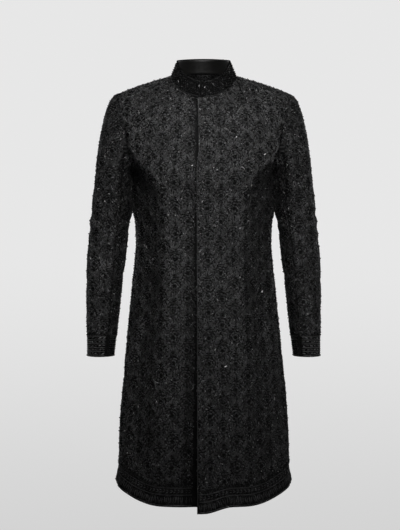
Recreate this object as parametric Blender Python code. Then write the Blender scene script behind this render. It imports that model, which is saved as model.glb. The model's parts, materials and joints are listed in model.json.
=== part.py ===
"""A knee-length sherwani coat, holding the round shape that it has when worn, with nobody in it.

Metres, +Z up. The front faces -Y, and the wearer's left side is +X. The origin is midway between
the two points where the shoulder seams meet the collar, which is where the coat hangs on its wearer.

The body is a family of rows. Each row runs from the centre line to the outer edge of a panel:
station 0 is the neckline, 0 to 1 ends on the shoulder seam, 1 to 2 on the armhole, and 2 to 3 on
the side seam. A sleeve is a family of rings, from the armhole to the cuff.
Every piece is a wall: its outer points come from those rows or rings, and its inner points lie one
cloth's thickness inside them.
"""

import math
from functools import partial

import bmesh
import bpy
from mathutils import Vector

# Cloth
CLOTH = 0.002  # embroidered silk with its interlining
COLLAR_CLOTH = 0.0018
FACING_CLOTH = 0.001
SEAM = 0.0003  # gap between two pieces at a seam

# Shoulders and neck
NECK_HALF_WIDTH = 0.083
SHOULDER_HALF_WIDTH = 0.2255
SHOULDER_DROP = 0.048
SHOULDER_BOW = 0.003  # how far the shoulder seam rises above a straight line

# Armhole: an oval in a plane that leans out at the top
UNDERARM_HALF_WIDTH = 0.186
UNDERARM_Z = -0.2405
ARMHOLE_SCOOP = 0.008  # how far its sides are cut in towards the chest and back

# Front closure: the left front lies over the right one
OVERLAP_EDGE_TOP = 0.016  # the left front's edge, past the centre line
OVERLAP_EDGE_HEM = 0.010
UNDERLAP_EDGE = 0.020  # the right front's hidden edge, past the centre line the other way
OVERLAP_STEP = CLOTH + 0.0006  # how far the right front lies under the left one
SUNK_TO = 0.044  # the right front has risen to its own height at this distance from the centre
TROUGH_DEPTH = 0.006  # how much further it falls back at the hem
EDGE_FLARE = 0.009  # how far the left front's corner stands out at the hem
CORNER_DROP = 0.015  # and how far it hangs down
CORNER_WIDTH = 0.072

# Skirt
SIDE_HEM_Z = -1.040
SLIT_TOP = 0.60  # share of the way down the side seam
SLIT_HALF_GAP = 0.010  # at the hem
HEM_RISES_FROM = 0.27  # share of the way from the centre line to the side seam
HEM_RISE_WIDTH = 0.67

# Collar
COLLAR_RISE = 0.040
COLLAR_LIFT = 0.0007  # between the neckline and its lower edge
COLLAR_MEETS_X = -0.0064
COLLAR_END_GAP = 0.001
COLLAR_TOP_WIDTH = 0.80  # its top edge against its base
COLLAR_TOP_DEPTH = {"front": 0.87, "back": 0.88}
FACING_LOW_BY = 0.0025
FACING_BASE_BY = 0.004

FRONT = {
    "sign": -1,
    "column": "front_depth",
    "neck_z": -0.0636,
    "shoulder_row_z": -0.100,
    "armhole_half": 0.062,
    "squareness": 2.25,
    "hem_centre": 0.036,
    "hem_side": -0.010,
}
BACK = {
    "sign": 1,
    "column": "back_depth",
    "neck_z": 0.012,
    "shoulder_row_z": -0.060,
    "armhole_half": 0.074,
    "squareness": 2.15,
    "hem_centre": 0.012,
    "hem_side": -0.010,
}

# The body from the side: how far the centre lines stand before and behind the shoulder line.
PROFILE_COLUMNS = ("z", "front_depth", "back_depth")
PROFILE = (
    (0.012, 0.0600, 0.0620),
    (-0.0636, 0.0765, 0.0930),
    (-0.100, 0.0970, 0.1080),
    (-0.150, 0.1170, 0.1200),
    (-0.200, 0.1275, 0.1270),
    (-0.240, 0.1305, 0.1280),
    (-0.300, 0.1300, 0.1230),
    (-0.360, 0.1255, 0.1120),
    (-0.420, 0.1215, 0.1040),
    (-0.480, 0.1215, 0.1060),
    (-0.540, 0.1240, 0.1140),
    (-0.600, 0.1270, 0.1220),
    (-0.700, 0.1320, 0.1300),
    (-0.850, 0.1395, 0.1370),
    (-1.000, 0.1470, 0.1420),
    (-1.110, 0.1525, 0.1450),
)

# The body from the front, below the armholes.
SIDE_COLUMNS = ("z", "half_width")
SIDE = (
    (-0.2405, 0.1860),
    (-0.270, 0.1832),
    (-0.310, 0.1813),
    (-0.345, 0.1790),
    (-0.370, 0.1757),
    (-0.420, 0.1727),
    (-0.471, 0.1757),
    (-0.522, 0.1812),
    (-0.600, 0.1890),
    (-0.700, 0.1980),
    (-0.800, 0.2045),
    (-0.900, 0.2110),
    (-0.980, 0.2168),
    (-1.010, 0.2205),
    (-1.035, 0.2260),
    (-1.110, 0.2265),
)

# Rings of the left sleeve after its armhole: the outermost and innermost points seen from the
# front, and its middle and half depths seen from the side.
SLEEVE_COLUMNS = ("outer_x", "outer_z", "inner_x", "inner_z", "middle_y", "front_half", "back_half")
SLEEVE = (
    (0.2395, -0.0640, 0.1872, -0.2450, 0.002, 0.0635, 0.0740),
    (0.2480, -0.0880, 0.1866, -0.2490, 0.003, 0.0650, 0.0735),
    (0.2560, -0.1150, 0.1860, -0.2550, 0.004, 0.0660, 0.0730),
    (0.2655, -0.1650, 0.1855, -0.2690, 0.005, 0.0675, 0.0715),
    (0.2730, -0.2160, 0.1846, -0.2870, 0.006, 0.0680, 0.0700),
    (0.2790, -0.2670, 0.1834, -0.3100, 0.007, 0.0675, 0.0685),
    (0.2840, -0.3180, 0.1826, -0.3400, 0.008, 0.0660, 0.0665),
    (0.2890, -0.3690, 0.1893, -0.3740, 0.009, 0.0640, 0.0645),
    (0.2943, -0.4200, 0.1958, -0.4210, 0.008, 0.0620, 0.0625),
    (0.2975, -0.4720, 0.2010, -0.4720, 0.004, 0.0600, 0.0605),
    (0.2985, -0.5230, 0.2075, -0.5230, -0.004, 0.0575, 0.0580),
    (0.2980, -0.5740, 0.2120, -0.5740, -0.013, 0.0550, 0.0555),
    (0.2968, -0.6250, 0.2168, -0.6250, -0.023, 0.0525, 0.0530),
    (0.2950, -0.6650, 0.2210, -0.6650, -0.032, 0.0500, 0.0505),
    (0.2938, -0.7130, 0.2262, -0.7130, -0.042, 0.0485, 0.0490),
)
SLEEVE_STAND_OFF = 0.0006  # between the armhole's edge and the sleeve's

# The two long sleeve seams, as angles round the sleeve from its outermost line.
SEAM_COLUMNS = ("ring", "front_angle", "back_angle")
SLEEVE_SEAMS = (
    (0, 126.0, 126.0),
    (8, 119.0, 120.0),
    (15, 121.0, 112.0),
)

# Soft flutes that the skirt hangs in: angle round from the centre line, half width and height.
FLUTE_COLUMNS = ("angle", "half_width", "height")
FRONT_FLUTES = ((62, 15, 0.0030),)
BACK_FLUTES = (
    (20, 15, 0.0060),
    (46, 13, -0.0050),
    (70, 14, 0.0045),
)
FLUTES_FROM_Z = -0.560

# Rows and columns of the walls
SHOULDER_ROWS = 4
ARMHOLE_ROWS = 10
SIDE_ROWS = 20
FRONT_COLUMNS = 9  # between the closure and the side seam
BACK_COLUMNS = 20
SLEEVE_COLUMNS_UPPER = 14
SLEEVE_COLUMNS_UNDER = 6
COLLAR_COLUMNS = 40
COLLAR_ROWS = 3

BLACK_SILK = {"color": (0.012, 0.012, 0.013, 1), "roughness": 0.62}
BLACK_FACING = {"color": (0.020, 0.019, 0.017, 1), "roughness": 0.45}


def smooth(t):
    """0 below 0, 1 above 1, and an even rise between."""
    t = min(max(t, 0.0), 1.0)
    return t * t * (3 - 2 * t)


def mix(a, b, t):
    return a + (b - a) * t


def read(table, columns, column, at):
    """A column of a table, on a smooth curve through its rows, at a value of its first column."""
    index = columns.index(column)
    rows = sorted(table)
    keys = [row[0] for row in rows]
    values = [row[index] for row in rows]
    return through(keys, values, at)


def through(keys, values, at):
    """The height at one place of a smooth curve through some points."""
    last = len(keys) - 1
    at = min(max(at, keys[0]), keys[last])
    i = max(k for k in range(last) if keys[k] <= at)
    slopes = [(values[k + 1] - values[k]) / (keys[k + 1] - keys[k]) for k in range(last)]

    def slope_at(k):
        if k in (0, last):
            return slopes[min(k, last - 1)]
        before, after = keys[k] - keys[k - 1], keys[k + 1] - keys[k]
        return (slopes[k - 1] * after + slopes[k] * before) / (before + after)

    step = keys[i + 1] - keys[i]
    t = (at - keys[i]) / step
    start = values[i] * (1 + 2 * t) * (1 - t) ** 2 + slope_at(i) * step * t * (1 - t) ** 2
    return start + values[i + 1] * t * t * (3 - 2 * t) + slope_at(i + 1) * step * t * t * (t - 1)


def depth(face, z):
    return read(PROFILE, PROFILE_COLUMNS, face["column"], z)


def half_width(z):
    return read(SIDE, SIDE_COLUMNS, "half_width", z)


def armhole(face, turn):
    """A point of the left armhole; turn is 0 at the shoulder and 1 under the arm."""
    angle = math.pi * turn
    top_x, low_x = SHOULDER_HALF_WIDTH, UNDERARM_HALF_WIDTH
    top_z, low_z = -SHOULDER_DROP, UNDERARM_Z
    across = (1 + math.cos(angle)) / 2
    x = mix(low_x, top_x, across) - ARMHOLE_SCOOP * math.sin(angle) ** 2
    y = face["sign"] * face["armhole_half"] * math.sin(angle)
    return Vector((x, y, mix(low_z, top_z, across)))


def slit(station):
    """How far open the side slit is: 0 where the side seam ends, 1 at the hem."""
    return max((station - 2 - SLIT_TOP) / (1 - SLIT_TOP), 0.0)


def centre_and_edge(face, share, station):
    """The two ends of the row through a point, and the row's turn, bend and squareness."""
    if station <= 1:
        bow = 4 * SHOULDER_BOW * station * (1 - station)
        x = mix(NECK_HALF_WIDTH, SHOULDER_HALF_WIDTH, station)
        edge = Vector((x, 0, bow - SHOULDER_DROP * station))
        centre_z = mix(face["neck_z"], face["shoulder_row_z"], station)
        shape = (mix(90, 50, station), mix(1.2, 2.0, station), 2.0)
    elif station <= 2:
        down = station - 1
        edge = armhole(face, down)
        centre_z = mix(face["shoulder_row_z"], UNDERARM_Z, down)
        turn = mix(50, 90, smooth((down - 0.25) / 0.75))
        shape = (turn, mix(2.0, 1.0, smooth(down / 0.6)), mix(2.0, face["squareness"], down))
    else:
        level = mix(UNDERARM_Z, SIDE_HEM_Z, station - 2)
        rise = smooth((abs(share) - HEM_RISES_FROM) / HEM_RISE_WIDTH)
        hem = mix(face["hem_centre"], face["hem_side"], rise)
        centre_z = level - hem * slit(station) ** 1.5
        y = face["sign"] * SLIT_HALF_GAP * slit(station) ** 1.4
        edge = Vector((half_width(centre_z), y, centre_z))
        shape = (90, 1.0, face["squareness"])
    centre = Vector((0, face["sign"] * depth(face, centre_z), centre_z))
    return centre, edge, shape


def body_point(face, share, station):
    """A point of the body; share runs along the row, from 0 at the centre line to 1 at the edge."""
    station = min(max(station, 0.0), 3.0)
    centre, edge, (turn, bend, squareness) = centre_and_edge(face, share, station)
    turn = math.radians(turn)
    power = 2 / squareness
    across = abs(math.sin(share * turn) / math.sin(turn)) ** power
    forward = max((math.cos(share * turn) - math.cos(turn)) / (1 - math.cos(turn)), 0.0) ** power
    x = math.copysign(edge.x * across, share)
    return Vector((x, mix(edge.y, centre.y, forward), mix(edge.z, centre.z, forward**bend)))


def share_at(face, station, x):
    """Where along a row its point stands at a given distance from the centre line."""
    low, high = -1.0, 1.0
    while high - low > 1e-7:
        middle = (low + high) / 2
        if body_point(face, middle, station).x < x:
            low = middle
        else:
            high = middle
    return (low + high) / 2


def normal_of(surface, u, v, inside):
    """The surface's unit normal at (u, v), pointing away from a point inside."""
    step = 1e-3
    along = surface(u + step, v) - surface(u - step, v)
    down = surface(u, v + step) - surface(u, v - step)
    normal = along.cross(down).normalized()
    return normal if normal.dot(surface(u, v) - inside) > 0 else -normal


def body_normal(face, share, station):
    """Outward direction of the body; on a side or shoulder seam it stays in the seam's plane."""
    place = body_point(face, share, station)
    inside = Vector((0, 0, place.z - 0.10))
    inner_share = math.copysign(min(abs(share), 0.998), share)
    inner_station = min(max(station, 0.002), 2.998)
    normal = normal_of(partial(body_point, face), inner_share, inner_station, inside)
    if abs(share) > 0.99 and not 1 < station < 2:
        normal.y = 0
        normal.normalize()
    return normal


def flute_height(face, share, z):
    rows = FRONT_FLUTES if face is FRONT else BACK_FLUTES
    height = 0.0
    for angle, half, rise in rows:
        away = min(abs(90 * abs(share) - angle) / half, 1.0)
        height += rise * (1 + math.cos(math.pi * away)) / 2
    return height * smooth((FLUTES_FROM_Z - z) / (FLUTES_FROM_Z - SIDE_HEM_Z))


def closure_height(left, x, z):
    """How far a front is raised or sunk beside the closure; x counts towards its own side."""
    down = min(max((z + 0.10) / (SIDE_HEM_Z + 0.10), 0.0), 1.1)
    if left:
        return EDGE_FLARE * smooth((down - 0.55) / 0.5) * smooth((0.060 - x) / 0.075)
    under = OVERLAP_STEP * smooth((SUNK_TO - x) / (SUNK_TO - 0.018))
    return -under - TROUGH_DEPTH * down * smooth((0.066 - x) / 0.046)


def panel_point(face, left, share, station):
    """The outer point of a body panel, and its outward direction. It is for the left half."""
    place = body_point(face, share, station)
    normal = body_normal(face, share, station)
    height = flute_height(face, share, place.z)
    if face is FRONT:
        height += closure_height(left, place.x, place.z)
        if left:
            rounded = smooth((CORNER_WIDTH - place.x) / CORNER_WIDTH)
            place.z -= CORNER_DROP * smooth((station - 2.88) / 0.12) * rounded
    return place + normal * height, normal


def stations():
    """The rows of a body panel, from the neckline to the hem."""
    shoulder = [i / SHOULDER_ROWS for i in range(SHOULDER_ROWS)]
    arm = [1 + i / ARMHOLE_ROWS for i in range(ARMHOLE_ROWS)]
    side = [2 + i / SIDE_ROWS for i in range(SIDE_ROWS + 1)]
    return shoulder + arm + side


def last_share(face, station):
    """Where a row stops so that half a seam's gap is left outside it."""
    step = 1e-3
    wide = (body_point(face, 1, station) - body_point(face, 1 - step, station)).length / step
    return 1 - SEAM / 2 / wide


def front_shares(left, station):
    """The columns of a front, from its edge at the closure to the side."""
    down = min(station / 3, 1.0)
    edge = mix(OVERLAP_EDGE_TOP, OVERLAP_EDGE_HEM, down) if left else UNDERLAP_EDGE
    near = [share_at(FRONT, station, x) for x in (-edge, 0.004)]
    first, last = share_at(FRONT, station, 0.026), last_share(FRONT, station)
    return near + [mix(first, last, i / FRONT_COLUMNS) for i in range(FRONT_COLUMNS + 1)]


def back_shares(station):
    last = last_share(BACK, station)
    return [mix(-last, last, i / BACK_COLUMNS) for i in range(BACK_COLUMNS + 1)]


BODY, ARM = 1, -1  # the two sides of an armhole seam


def mirrored(pair):
    return tuple(Vector((-item.x, item.y, item.z)) for item in pair)


def armhole_direction(normal, sign):
    """A direction at the armhole, kept from leaning over into the piece across the seam."""
    lean = Vector((SHOULDER_DROP + UNDERARM_Z, 0, SHOULDER_HALF_WIDTH - UNDERARM_HALF_WIDTH))
    axis = -lean.normalized()
    over = normal.dot(axis) * sign
    return (normal - axis * sign * over).normalized() if over < 0 else normal


def front_panel(left):
    rows = []
    for station in stations():
        row = [panel_point(FRONT, left, share, station) for share in front_shares(left, station)]
        if 1 <= station <= 2:
            place, normal = row[-1]
            row[-1] = (place, armhole_direction(normal, BODY))
        rows.append(row if left else [mirrored(pair) for pair in row])
    return rows


def back_panel():
    rows = []
    for station in stations():
        row = []
        for share in back_shares(station):
            place, normal = panel_point(BACK, False, abs(share), station)
            if 1 <= station <= 2 and abs(share) > 0.99:
                normal = armhole_direction(normal, BODY)
            row.append((place, normal) if share >= 0 else mirrored((place, normal)))
        rows.append(row)
    return rows


def sleeve_value(column, ring):
    index = SLEEVE_COLUMNS.index(column)
    return through(list(range(1, len(SLEEVE) + 1)), [row[index] for row in SLEEVE], ring)


def sleeve_point(angle, ring):
    """A point of the left sleeve; angle runs from its outermost line to the front (positive)."""
    turn = math.radians(angle)
    front = math.sin(turn) >= 0
    if ring < 1:
        face = FRONT if front else BACK
        start = armhole(face, abs((angle + 180) % 360 - 180) / 180)
        start.x += SLEEVE_STAND_OFF
        return start.lerp(sleeve_point(angle, 1), max(ring, 0.0))
    across = (1 + math.cos(turn)) / 2
    x = mix(sleeve_value("inner_x", ring), sleeve_value("outer_x", ring), across)
    z = mix(sleeve_value("inner_z", ring), sleeve_value("outer_z", ring), across)
    half = sleeve_value("front_half" if front else "back_half", ring)
    return Vector((x, sleeve_value("middle_y", ring) - half * math.sin(turn), z))


def sleeve_middle(ring):
    return (sleeve_point(0, ring) + sleeve_point(180, ring)) / 2


def sleeve_panel(upper, left):
    """Rows of one of the two pieces of a sleeve, from the armhole to the cuff."""
    columns = SLEEVE_COLUMNS_UPPER if upper else SLEEVE_COLUMNS_UNDER
    rows = []
    for ring in range(len(SLEEVE) + 1):
        front = read(SLEEVE_SEAMS, SEAM_COLUMNS, "front_angle", ring)
        back = read(SLEEVE_SEAMS, SEAM_COLUMNS, "back_angle", ring)
        radius = (sleeve_point(front, ring) - sleeve_middle(ring)).length
        gap = math.degrees(SEAM / 2 / radius) * 1.15
        ends = (-back + gap, front - gap) if upper else (front + gap, 360 - back - gap)
        row = []
        for i in range(columns + 1):
            angle = mix(*ends, i / columns)
            within = min(max(ring, 0.002), len(SLEEVE) - 0.002)
            normal = normal_of(sleeve_point, angle, within, sleeve_middle(within))
            if ring == 0:
                normal = armhole_direction(normal, ARM)
            row.append((sleeve_point(angle, ring), normal))
        rows.append(row if left else [mirrored(pair) for pair in row])
    return rows


def collar_point(angle, height):
    """A point of the collar; angle runs from the centre back, height from 0 to 1."""
    front = abs(angle) > 90
    share = math.copysign(1, angle) * (180 - abs(angle)) / 90 if front else angle / 90
    face = FRONT if front else BACK
    base = body_point(face, share, 0)
    narrow = mix(1, COLLAR_TOP_WIDTH, height)
    shallow = mix(1, COLLAR_TOP_DEPTH["front" if front else "back"], height)
    return Vector((base.x * narrow, base.y * shallow, base.z + COLLAR_LIFT + COLLAR_RISE * height))


def collar_panel(inset, first_height, last_height):
    """Rows of a collar layer, from its base to its top edge."""
    base_angle = math.asin(COLLAR_MEETS_X / NECK_HALF_WIDTH)
    half_gap = COLLAR_END_GAP / 2 / NECK_HALF_WIDTH
    ends = [math.degrees(side * math.pi - base_angle - side * half_gap) for side in (-1, 1)]
    rows = []
    for j in range(COLLAR_ROWS + 1):
        height = mix(first_height, last_height, j / COLLAR_ROWS)
        row = []
        for i in range(COLLAR_COLUMNS + 1):
            angle = mix(*ends, i / COLLAR_COLUMNS)
            inside = Vector((0, 0, collar_point(angle, height).z))
            normal = normal_of(collar_point, angle, height, inside)
            normal.z = 0
            normal.normalize()
            row.append((collar_point(angle, height) - normal * inset, normal))
        rows.append(row)
    return rows


def material(name, look):
    made = bpy.data.materials.new(name)
    made.use_nodes = True
    shader = made.node_tree.nodes["Principled BSDF"]
    shader.inputs["Base Color"].default_value = look["color"]
    shader.inputs["Roughness"].default_value = look["roughness"]
    made.diffuse_color = look["color"]
    return made


def wall(name, rows, thickness, cloth, collection):
    """A closed wall between the rows' outer points and the points one thickness inside them."""
    mesh = bpy.data.meshes.new(name)
    body = bmesh.new()
    outer = [[body.verts.new(place) for place, _ in row] for row in rows]
    inner = [[body.verts.new(place - normal * thickness) for place, normal in row] for row in rows]
    last_row, last_column = len(rows) - 1, len(rows[0]) - 1
    for j in range(last_row):
        for i in range(last_column):
            for side in (outer, inner):
                body.faces.new((side[j][i], side[j][i + 1], side[j + 1][i + 1], side[j + 1][i]))
    for j in (0, last_row):
        for i in range(last_column):
            body.faces.new((outer[j][i], outer[j][i + 1], inner[j][i + 1], inner[j][i]))
    for i in (0, last_column):
        for j in range(last_row):
            body.faces.new((outer[j][i], outer[j + 1][i], inner[j + 1][i], inner[j][i]))
    bmesh.ops.recalc_face_normals(body, faces=body.faces[:])
    body.to_mesh(mesh)
    body.free()
    mesh.shade_smooth()
    mesh.set_sharp_from_angle(angle=math.radians(50))
    made = bpy.data.objects.new(name, mesh)
    made.data.materials.append(cloth)
    collection.objects.link(made)
    return made


def main():
    for item in list(bpy.data.objects):
        bpy.data.objects.remove(item, do_unlink=True)
    collection = bpy.data.collections.new("sherwani_coat")
    bpy.context.scene.collection.children.link(collection)
    silk = material("embroidered_silk", BLACK_SILK)
    facing = material("facing_silk", BLACK_FACING)
    wall("front_left", front_panel(True), CLOTH, silk, collection)
    wall("front_right", front_panel(False), CLOTH, silk, collection)
    wall("back", back_panel(), CLOTH, silk, collection)
    for side, left in (("left", True), ("right", False)):
        wall(f"sleeve_{side}_upper", sleeve_panel(True, left), CLOTH, silk, collection)
        wall(f"sleeve_{side}_under", sleeve_panel(False, left), CLOTH, silk, collection)
    wall("collar", collar_panel(0, 0, 1), COLLAR_CLOTH, silk, collection)
    facing_top = 1 - FACING_LOW_BY / COLLAR_RISE
    facing_base = FACING_BASE_BY / COLLAR_RISE
    facing_rows = collar_panel(COLLAR_CLOTH + SEAM, facing_base, facing_top)
    wall("collar_facing", facing_rows, FACING_CLOTH, facing, collection)


main()
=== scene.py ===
import json
import math

import bpy
import mathutils
import numpy as np
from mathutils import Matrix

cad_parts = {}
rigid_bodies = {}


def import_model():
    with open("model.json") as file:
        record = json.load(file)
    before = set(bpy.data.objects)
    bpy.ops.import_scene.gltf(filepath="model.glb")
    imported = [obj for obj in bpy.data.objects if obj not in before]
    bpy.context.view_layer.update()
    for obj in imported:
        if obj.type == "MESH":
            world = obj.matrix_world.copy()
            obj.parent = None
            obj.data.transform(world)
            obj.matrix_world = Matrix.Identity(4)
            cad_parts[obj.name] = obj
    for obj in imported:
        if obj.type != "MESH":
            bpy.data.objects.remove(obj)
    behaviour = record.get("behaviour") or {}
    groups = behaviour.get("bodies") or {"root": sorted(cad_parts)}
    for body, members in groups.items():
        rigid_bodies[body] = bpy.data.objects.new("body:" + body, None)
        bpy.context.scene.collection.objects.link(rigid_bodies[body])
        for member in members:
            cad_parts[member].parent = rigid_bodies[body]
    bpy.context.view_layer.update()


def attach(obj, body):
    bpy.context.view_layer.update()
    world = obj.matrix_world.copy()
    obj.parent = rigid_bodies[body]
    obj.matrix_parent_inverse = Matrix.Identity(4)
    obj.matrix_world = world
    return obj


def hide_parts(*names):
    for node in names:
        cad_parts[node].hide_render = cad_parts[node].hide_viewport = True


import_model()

# A black sherwani coat with tone-on-tone beadwork. Metres, +Z up, the front faces -Y.
# Each panel is a grid of points on its worn form, with a flat cut of its own: two lengths in
# metres, across and up the cloth. The beadwork is drawn on the cut, and modifiers lay it on the form.


# Sizes of the coat, the same as the solids'.
body = {
    "neckHalfWidth": 0.083,
    "shoulderHalfWidth": 0.2255,
    "shoulderDrop": 0.048,
    "shoulderBow": 0.003,
    "underarmHalfWidth": 0.186,
    "underarmZ": -0.2405,
    "armholeScoop": 0.008,
    "sideHemZ": -1.040,
    "slitTop": 0.60,
    "slitHalfGap": 0.010,
    "slitLowers": 1.5,  # how late down the slit the hem and the gap come: powers of the way
    "slitOpens": 1.4,
    "hemRisesFrom": 0.27,
    "hemRiseWidth": 0.67,
    "rowTurn": (90, 50, 90),  # degrees that a row turns, at the neck, at the shoulder's end and below
    "rowBend": (1.2, 2.0, 1.0),  # how late a row leaves its edge's height, at the same places
    "armTurnDown": (0.25, 0.75),  # shares of the armhole
    "armBendDown": 0.6,
    "neckSquareness": 2.0,
    "cloth": 0.0018,
}
closure = {
    "edgeTop": 0.016,
    "edgeHem": 0.010,
    "underEdge": 0.020,
    "top": -0.10,
    "mostDown": 1.1,  # shares of the way down that the flare and the trough still grow
    "step": 0.0026,
    "sunkFrom": 0.018,
    "sunkTo": 0.044,
    "trough": 0.006,
    "troughAcross": (0.066, 0.046),  # where it ends, and over what width
    "flare": 0.009,
    "flareDown": (0.55, 0.5),  # shares of the way down
    "flareAcross": (0.060, 0.075),
    "cornerDrop": 0.015,
    "cornerWidth": 0.072,
    "cornerDown": (2.88, 0.12),  # stations, of which 3 is the hem
    "edgeOut": 0.0060,  # how far the lap bows out below the chest
    "edgeOutDown": (0.56, 0.13),
    "bareTop": 0.0205,
    "bareHem": 0.0255,
    "bareSoft": 0.005,
    "bareWorked": 0.28,  # how thickly the plain strip is still stitched
    "shadeTop": 0.021,  # painted shadow of the lap darkens the work over a wider strip beside it
    "shadeHem": 0.050,
    "shadeSoft": 0.022,
    "shade": 0.88,
}
front = {
    "sign": -1,
    "depth": "frontDepth",
    "neckZ": -0.0636,
    "shoulderRowZ": -0.100,
    "armholeHalf": 0.062,
    "squareness": 2.25,
    "hemCentre": 0.036,
    "hemSide": -0.010,
}
back = {
    "sign": 1,
    "depth": "backDepth",
    "neckZ": 0.012,
    "shoulderRowZ": -0.060,
    "armholeHalf": 0.074,
    "squareness": 2.15,
    "hemCentre": 0.012,
    "hemSide": -0.010,
}
profileColumns = ("z", "frontDepth", "backDepth")
profile = (
    (0.012, 0.0600, 0.0620),
    (-0.0636, 0.0765, 0.0930),
    (-0.100, 0.0970, 0.1080),
    (-0.150, 0.1170, 0.1200),
    (-0.200, 0.1275, 0.1270),
    (-0.240, 0.1305, 0.1280),
    (-0.300, 0.1300, 0.1230),
    (-0.360, 0.1255, 0.1120),
    (-0.420, 0.1215, 0.1040),
    (-0.480, 0.1215, 0.1060),
    (-0.540, 0.1240, 0.1140),
    (-0.600, 0.1270, 0.1220),
    (-0.700, 0.1320, 0.1300),
    (-0.850, 0.1395, 0.1370),
    (-1.000, 0.1470, 0.1420),
    (-1.110, 0.1525, 0.1450),
)
sideColumns = ("z", "halfWidth")
side = (
    (-0.2405, 0.1860),
    (-0.270, 0.1832),
    (-0.310, 0.1813),
    (-0.345, 0.1790),
    (-0.370, 0.1757),
    (-0.420, 0.1727),
    (-0.471, 0.1757),
    (-0.522, 0.1812),
    (-0.600, 0.1890),
    (-0.700, 0.1980),
    (-0.800, 0.2045),
    (-0.900, 0.2110),
    (-0.980, 0.2168),
    (-1.010, 0.2205),
    (-1.035, 0.2260),
    (-1.110, 0.2265),
)
# Soft flutes of the skirt: angle and half width in degrees, then height.
flutes = {
    "top": -0.560,
    "frontDepth": ((62, 15, 0.0030),),
    "backDepth": ((20, 15, 0.0060), (46, 13, -0.0050), (70, 14, 0.0045)),
}
sleeveColumns = ("outerX", "outerZ", "innerX", "innerZ", "middleY", "frontHalf", "backHalf")
sleeve = (
    (0.2395, -0.0640, 0.1872, -0.2450, 0.002, 0.0635, 0.0740),
    (0.2480, -0.0880, 0.1866, -0.2490, 0.003, 0.0650, 0.0735),
    (0.2560, -0.1150, 0.1860, -0.2550, 0.004, 0.0660, 0.0730),
    (0.2655, -0.1650, 0.1855, -0.2690, 0.005, 0.0675, 0.0715),
    (0.2730, -0.2160, 0.1846, -0.2870, 0.006, 0.0680, 0.0700),
    (0.2790, -0.2670, 0.1834, -0.3100, 0.007, 0.0675, 0.0685),
    (0.2840, -0.3180, 0.1826, -0.3400, 0.008, 0.0660, 0.0665),
    (0.2890, -0.3690, 0.1893, -0.3740, 0.009, 0.0640, 0.0645),
    (0.2943, -0.4200, 0.1958, -0.4210, 0.008, 0.0620, 0.0625),
    (0.2975, -0.4720, 0.2010, -0.4720, 0.004, 0.0600, 0.0605),
    (0.2985, -0.5230, 0.2075, -0.5230, -0.004, 0.0575, 0.0580),
    (0.2980, -0.5740, 0.2120, -0.5740, -0.013, 0.0550, 0.0555),
    (0.2968, -0.6250, 0.2168, -0.6250, -0.023, 0.0525, 0.0530),
    (0.2950, -0.6650, 0.2210, -0.6650, -0.032, 0.0500, 0.0505),
    (0.2938, -0.7130, 0.2262, -0.7130, -0.042, 0.0485, 0.0490),
)
sleeveSeamColumns = ("ring", "frontAngle", "backAngle")
sleeveSeams = ((0, 126.0, 126.0), (8, 119.0, 120.0), (15, 121.0, 112.0))
collar = {
    "rise": 0.040,
    "lift": 0.0007,
    "meetsX": -0.0064,
    "endGap": 0.001,
    "topWidth": 0.80,
    "topDepthFront": 0.87,
    "topDepthBack": 0.88,
    "span": (-0.035, 1.0),  # from its lower edge to its upper one, in shares of its rise
    "cloth": 0.0017,
    "facing": 0.0009,
    "facingGap": 0.0002,
    "facingSpan": (0.02, 0.94),
}


def smooth(t):
    t = np.clip(t, 0.0, 1.0)
    return t * t * (3 - 2 * t)


def rising(x, start, width):
    # 0 up to the start, and 1 from a width past it
    return smooth((x - start) / width)


def falling(x, end, width):
    # 1 until a width before the end, and 0 past it
    return smooth((end - x) / width)


def hump(x, width):
    return np.exp(-((x / width) ** 2))


def mix(a, b, t):
    return a + (b - a) * t


def curveThrough(keys, values):
    # a smooth curve through some points, as a function that takes arrays
    order = np.argsort(keys)
    keys, values = np.array(keys, float)[order], np.array(values, float)[order]
    steps, slopes = np.diff(keys), np.diff(values) / np.diff(keys)
    inner = (slopes[:-1] * steps[1:] + slopes[1:] * steps[:-1]) / (steps[:-1] + steps[1:])
    ends = np.concatenate([slopes[:1], inner, slopes[-1:]])

    def at(x):
        x = np.clip(x, keys[0], keys[-1])
        i = np.clip(np.searchsorted(keys, x) - 1, 0, len(keys) - 2)
        t, h = (x - keys[i]) / steps[i], steps[i]
        low = values[i] * (1 + 2 * t) * (1 - t) ** 2 + ends[i] * h * t * (1 - t) ** 2
        return low + values[i + 1] * t * t * (3 - 2 * t) + ends[i + 1] * h * t * t * (t - 1)

    return at


def columnCurve(table, columns, name):
    index = columns.index(name)
    return curveThrough([row[0] for row in table], [row[index] for row in table])


depthAt = {name: columnCurve(profile, profileColumns, name) for name in profileColumns[1:]}
halfWidthAt = columnCurve(side, sideColumns, "halfWidth")
sleeveAt = {
    name: curveThrough(range(1, len(sleeve) + 1), [row[i] for row in sleeve])
    for i, name in enumerate(sleeveColumns)
}
seamAt = {name: columnCurve(sleeveSeams, sleeveSeamColumns, name) for name in sleeveSeamColumns[1:]}


def unit(v):
    return v / np.maximum(np.linalg.norm(v, axis=-1, keepdims=True), 1e-12)


def turnedTo(normals, away):
    return normals * np.where((normals * away).sum(-1, keepdims=True) < 0, -1.0, 1.0)


def gridNormals(points, away):
    # normals of a grid of points, on the side that away points to
    return turnedTo(unit(np.cross(np.gradient(points, axis=1), np.gradient(points, axis=0))), away)


def middleTurn(points):
    # the way a grid of points turns at its middle, from across to down
    i, j = points.shape[0] // 2, points.shape[1] // 2
    return np.cross(points[i, j + 1] - points[i, j], points[i + 1, j] - points[i, j])


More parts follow.
